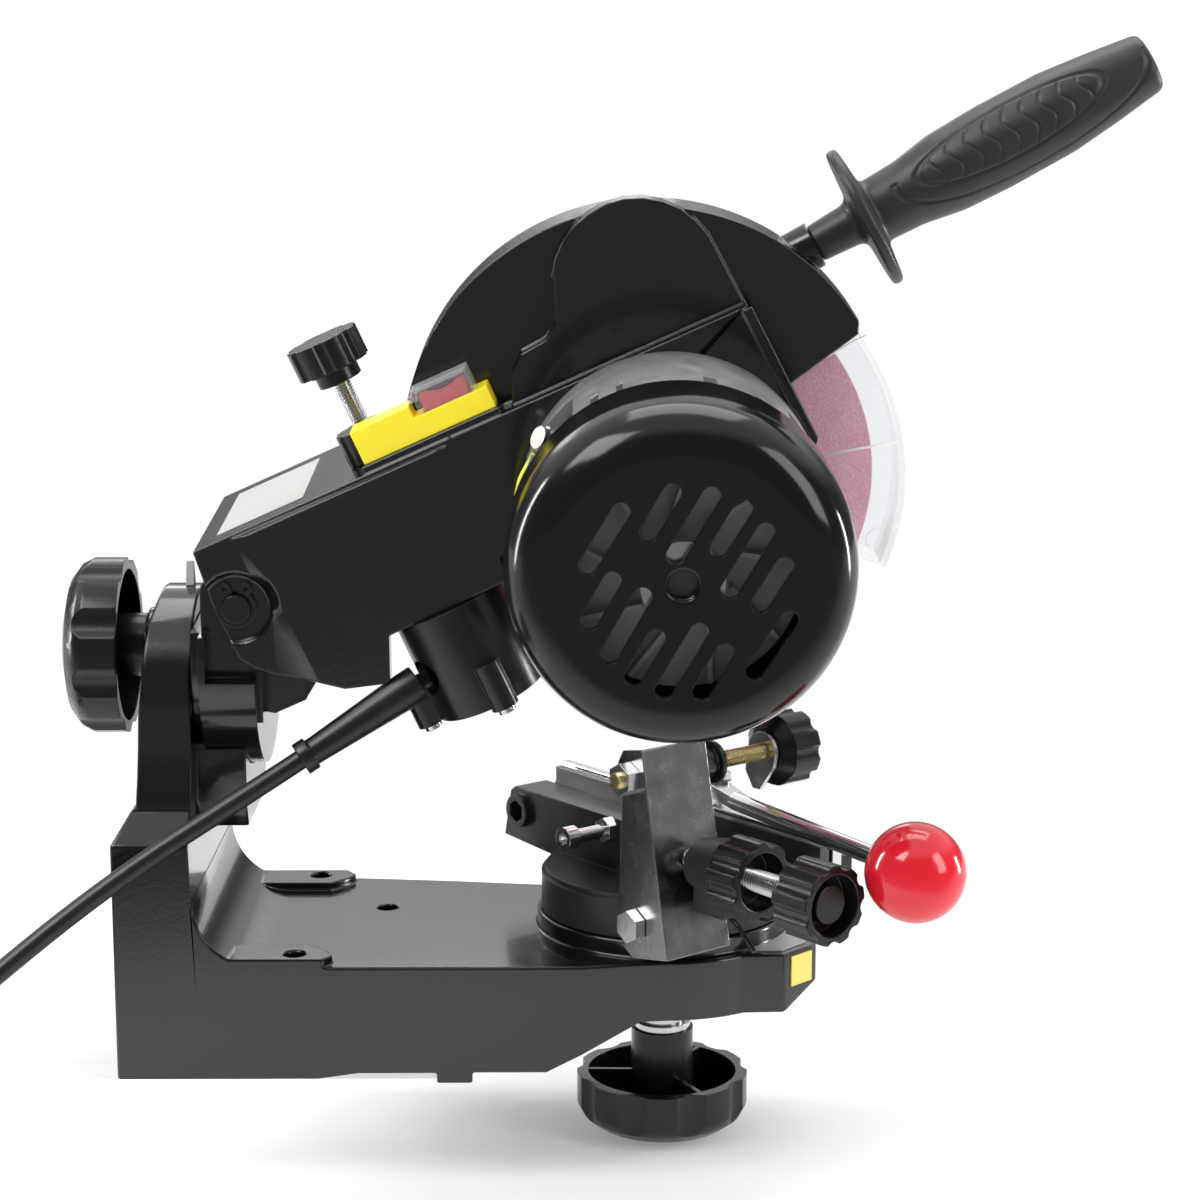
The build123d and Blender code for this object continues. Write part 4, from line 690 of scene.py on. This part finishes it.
for x0, z0, x1, z1 in CAP_SLOTS:
    a, b = Vector((x0, z0)), Vector((x1, z1))
    run = (b - a).normalized()
    half = (b - a).length / 2 - SLOT_TRIM
    rim = bmesh.ops.create_circle(bm, cap_ends=True, radius=SLOT_R * MM, segments=24)["verts"]
    for vert in rim:
        vert.co.x += (half if vert.co.x > 0 else -half) * MM
    face = [f for f in bm.faces if all(v in rim for v in f.verts)]
    swept = bmesh.ops.extrude_face_region(bm, geom=face)["geom"]
    far = [thing for thing in swept if isinstance(thing, bmesh.types.BMVert)]
    bmesh.ops.translate(bm, verts=far, vec=(0, 0, SLOT_DEEP * MM))
    turn = Matrix.Rotation(run.angle_signed(Vector((1, 0))), 4, "Z")
    centre = (a + b) / 2 + SLOT_SHIFT
    here = HEAD @ Matrix.Translation(mm(WHEEL[0] + centre.x, SLOT_Y, WHEEL[1] + centre.y))
    bmesh.ops.transform(bm, matrix=here @ Z_TO_NEAR @ turn, verts=list(rim) + far)
slots = finished("slot_cutter", bm, finishes["cap_gloss"])


def cut(target, cutter):
    """Applies a Boolean and removes its cutter."""
    boolean = target.modifiers.new("cut", "BOOLEAN")
    boolean.object = cutter
    boolean.solver = "MANIFOLD"
    depsgraph = bpy.context.evaluated_depsgraph_get()
    result = bpy.data.meshes.new_from_object(target.evaluated_get(depsgraph))
    target.modifiers.clear()
    target.data = result
    bpy.data.objects.remove(cutter)


cut(cap, slots)
soften(cap, 0.0, 38)
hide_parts("motor_rear_cap")
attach(cap, "head")
print("cap faces", len(cap.data.polygons))

# %% [markdown]
# ## Handle grip
# A moulded grip with a guard flange. Its outline is spun with many steps. The vertices of its near side
# are then moved in and out, which gives an oval panel crossed by wave grooves and a longer sweep line
# round it.

# %% Handle grip
RISE = radians(28.9)
HANDLE_DIR = Vector((cos(RISE), 0, sin(RISE)))
GRIP_START = Vector((167.0, -9.0, 281.8)) + HANDLE_DIR * 15.55
GRIP_CORNERS = [(0, 4.2), (0, 6.2), (0.6, 6.6), (14, 7.4), (16, 9), (17, 24.4), (18, 25.4), (20, 25.4),
                (21, 24.4), (22.5, 11.2), (36, 11.8), (50, 14.2), (68, 14.9), (92, 14.6),
                (110, 12.6), (122, 10.9), (126, 10.4), (127.5, 8.8), (127.5, 0.0)]


def dense(outline, limit):
    """Adds points so that no step of an outline is longer than limit."""
    points = []
    for a, b in zip(outline, outline[1:]):
        steps = max(1, int((Vector(b) - Vector(a)).length / limit + 0.99))
        points += [tuple(Vector(a).lerp(Vector(b), i / steps)) for i in range(steps)]
    return points + [outline[-1]]


grip_mesh = spun(dense(cushioned(GRIP_CORNERS, 2.0, 4), 0.5), 190)
PANEL_MID, PANEL_UP, PANEL_HALF, PANEL_TALL = 75.0, 5.0, 34.5, 9.5
SWEEP_MID, SWEEP_HALF, SWEEP_TALL = 79.0, 47.0, 16.5
WAVE_STEP, WAVE_TALL, WAVE_BENDS, GROOVE = 6.9, 1.5, 1.4, 0.55
CARVED_FROM, CARVED_TO, CARVED_R = 28, 126, 9
OVAL_DEEP, LINE_DEEP, PANEL_RAISED, PANEL_SHARE, SWEEP_FROM = 0.55, 0.5, 0.35, 0.93, -2


def groove(distance, depth):
    """Depth of a rounded groove at a distance in millimetres from its line."""
    return -depth * max(0.0, 1 - (distance / GROOVE) ** 2)


for vert in grip_mesh.verts:
    height = vert.co.z / MM
    radius = sqrt(vert.co.x ** 2 + vert.co.y ** 2) / MM
    if radius < CARVED_R or not CARVED_FROM < height < CARVED_TO:
        continue
    across = Vector((vert.co.x, vert.co.y)).angle_signed(Vector((0, 1)), 0.0) * radius
    up = across + PANEL_UP
    oval = sqrt(((height - PANEL_MID) / PANEL_HALF) ** 2 + (up / PANEL_TALL) ** 2)
    sweep = sqrt(((height - SWEEP_MID) / SWEEP_HALF) ** 2 + (up / SWEEP_TALL) ** 2)
    lift = groove((oval - 1) * PANEL_TALL, OVAL_DEEP)
    if up > SWEEP_FROM:
        lift = min(lift, groove((sweep - 1) * SWEEP_TALL, LINE_DEEP))
    if oval < PANEL_SHARE:
        wave = height - PANEL_MID - WAVE_TALL * sin(up / PANEL_TALL * pi * WAVE_BENDS)
        off_line = abs((wave + WAVE_STEP / 2) % WAVE_STEP - WAVE_STEP / 2)
        lift = min(lift, groove(off_line, LINE_DEEP))
        lift += PANEL_RAISED * (1 - oval / PANEL_SHARE)
    vert.co += Vector((vert.co.x, vert.co.y, 0)).normalized() * lift * MM
handle_turn = Matrix(((sin(RISE), 0, cos(RISE), 0), (0, 1, 0, 0), (-cos(RISE), 0, sin(RISE), 0),
                      (0, 0, 0, 1)))
grip_place = HEAD @ Matrix.Translation(GRIP_START * MM) @ handle_turn @ Matrix.Rotation(pi, 4, "Z")
grip = finished("grip", grip_mesh, finishes["grip_plastic"], True, grip_place)
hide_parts("handle_grip")
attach(grip, "head")
print("grip faces", len(grip.data.polygons))


# %% [markdown]
# ## Screw threads
# A thread is a small V that is spun many turns while it climbs one pitch per turn. Only the screws
# that show get one.

# %% Threads
THREAD_DEEP, CREST_FROM, CREST_TO, CORE_SHARE = 0.54, 0.42, 0.58, 0.98


def threaded(name, node_name, place, radius, pitch, low, high, material, body, nuts=()):
    """A threaded rod from low to high, with hexagon nuts (from, to, width over flats) added."""
    bm = bmesh.new()
    depth = THREAD_DEEP * pitch
    crest = [(0.0, radius - depth), (pitch * CREST_FROM, radius), (pitch * CREST_TO, radius),
             (pitch, radius - depth)]
    verts = [bm.verts.new(mm(r, 0, low + h)) for h, r in crest]
    edges = [bm.edges.new(pair) for pair in zip(verts, verts[1:])]
    turns = int((high - low) / pitch) - 1
    steps = 24
    bmesh.ops.spin(bm, geom=verts + edges, cent=(0, 0, 0), axis=(0, 0, 1),
                   dvec=(0, 0, pitch * MM / steps), angle=2 * pi * turns, steps=steps * turns)
    bmesh.ops.remove_doubles(bm, verts=bm.verts, dist=1e-6)
    core = radius - depth * CORE_SHARE
    hexagons = [(a, b, flats / sqrt(3), 6) for a, b, flats in nuts]
    for start, end, r, sides in [(low, high, core, 32)] + hexagons:
        before = set(bm.faces)
        middle = Matrix.Translation(mm(0, 0, (start + end) / 2))
        bmesh.ops.create_cone(bm, cap_ends=True, segments=sides, radius1=r * MM, radius2=r * MM,
                              depth=(end - start) * MM, matrix=middle)
        for face in set(bm.faces) - before:
            face.material_index = 1 if sides == 6 else 0
    made = finished(name, bm, material, False, place)
    made.data.materials.append(finishes["zinc_steel"])
    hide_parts(node_name)
    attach(made, body)
    return made


def vise_place(u, v, z, direction):
    """Place in the vise's own frame, with u towards -Y and v towards +X."""
    return VISE @ along(mm(v, -u, z), direction)


DEPTH_PLACE = ARM @ Matrix.Translation(mm(32.3, -15, 0))
depth_thread = threaded("depth_thread", "depth_screw", DEPTH_PLACE, 3.0, 1.0, -36, 34,
                        finishes["zinc_steel"], "depth_stop")
ADJUST_PLACE = vise_place(56.2, -36, 83, (0, -1, 0))
adjust_thread = threaded("adjust_thread", "adjust_screw", ADJUST_PLACE, 3.9, 1.25, 0, 65.8,
                         finishes["zinc_steel"], "adjuster")
PAWL_PLACE = vise_place(41.8, -57, 110.45, (1, 0, 0))
pawl_thread = threaded("pawl_thread", "pawl_bolt", PAWL_PLACE, 3.0, 1.0, 0, 84.5,
                       finishes["yellow_zinc"], "stop", [(1.9, 6.9, 10.0)])
for thread in (depth_thread, adjust_thread, pawl_thread):
    print(thread.name, "faces", len(thread.data.polygons))
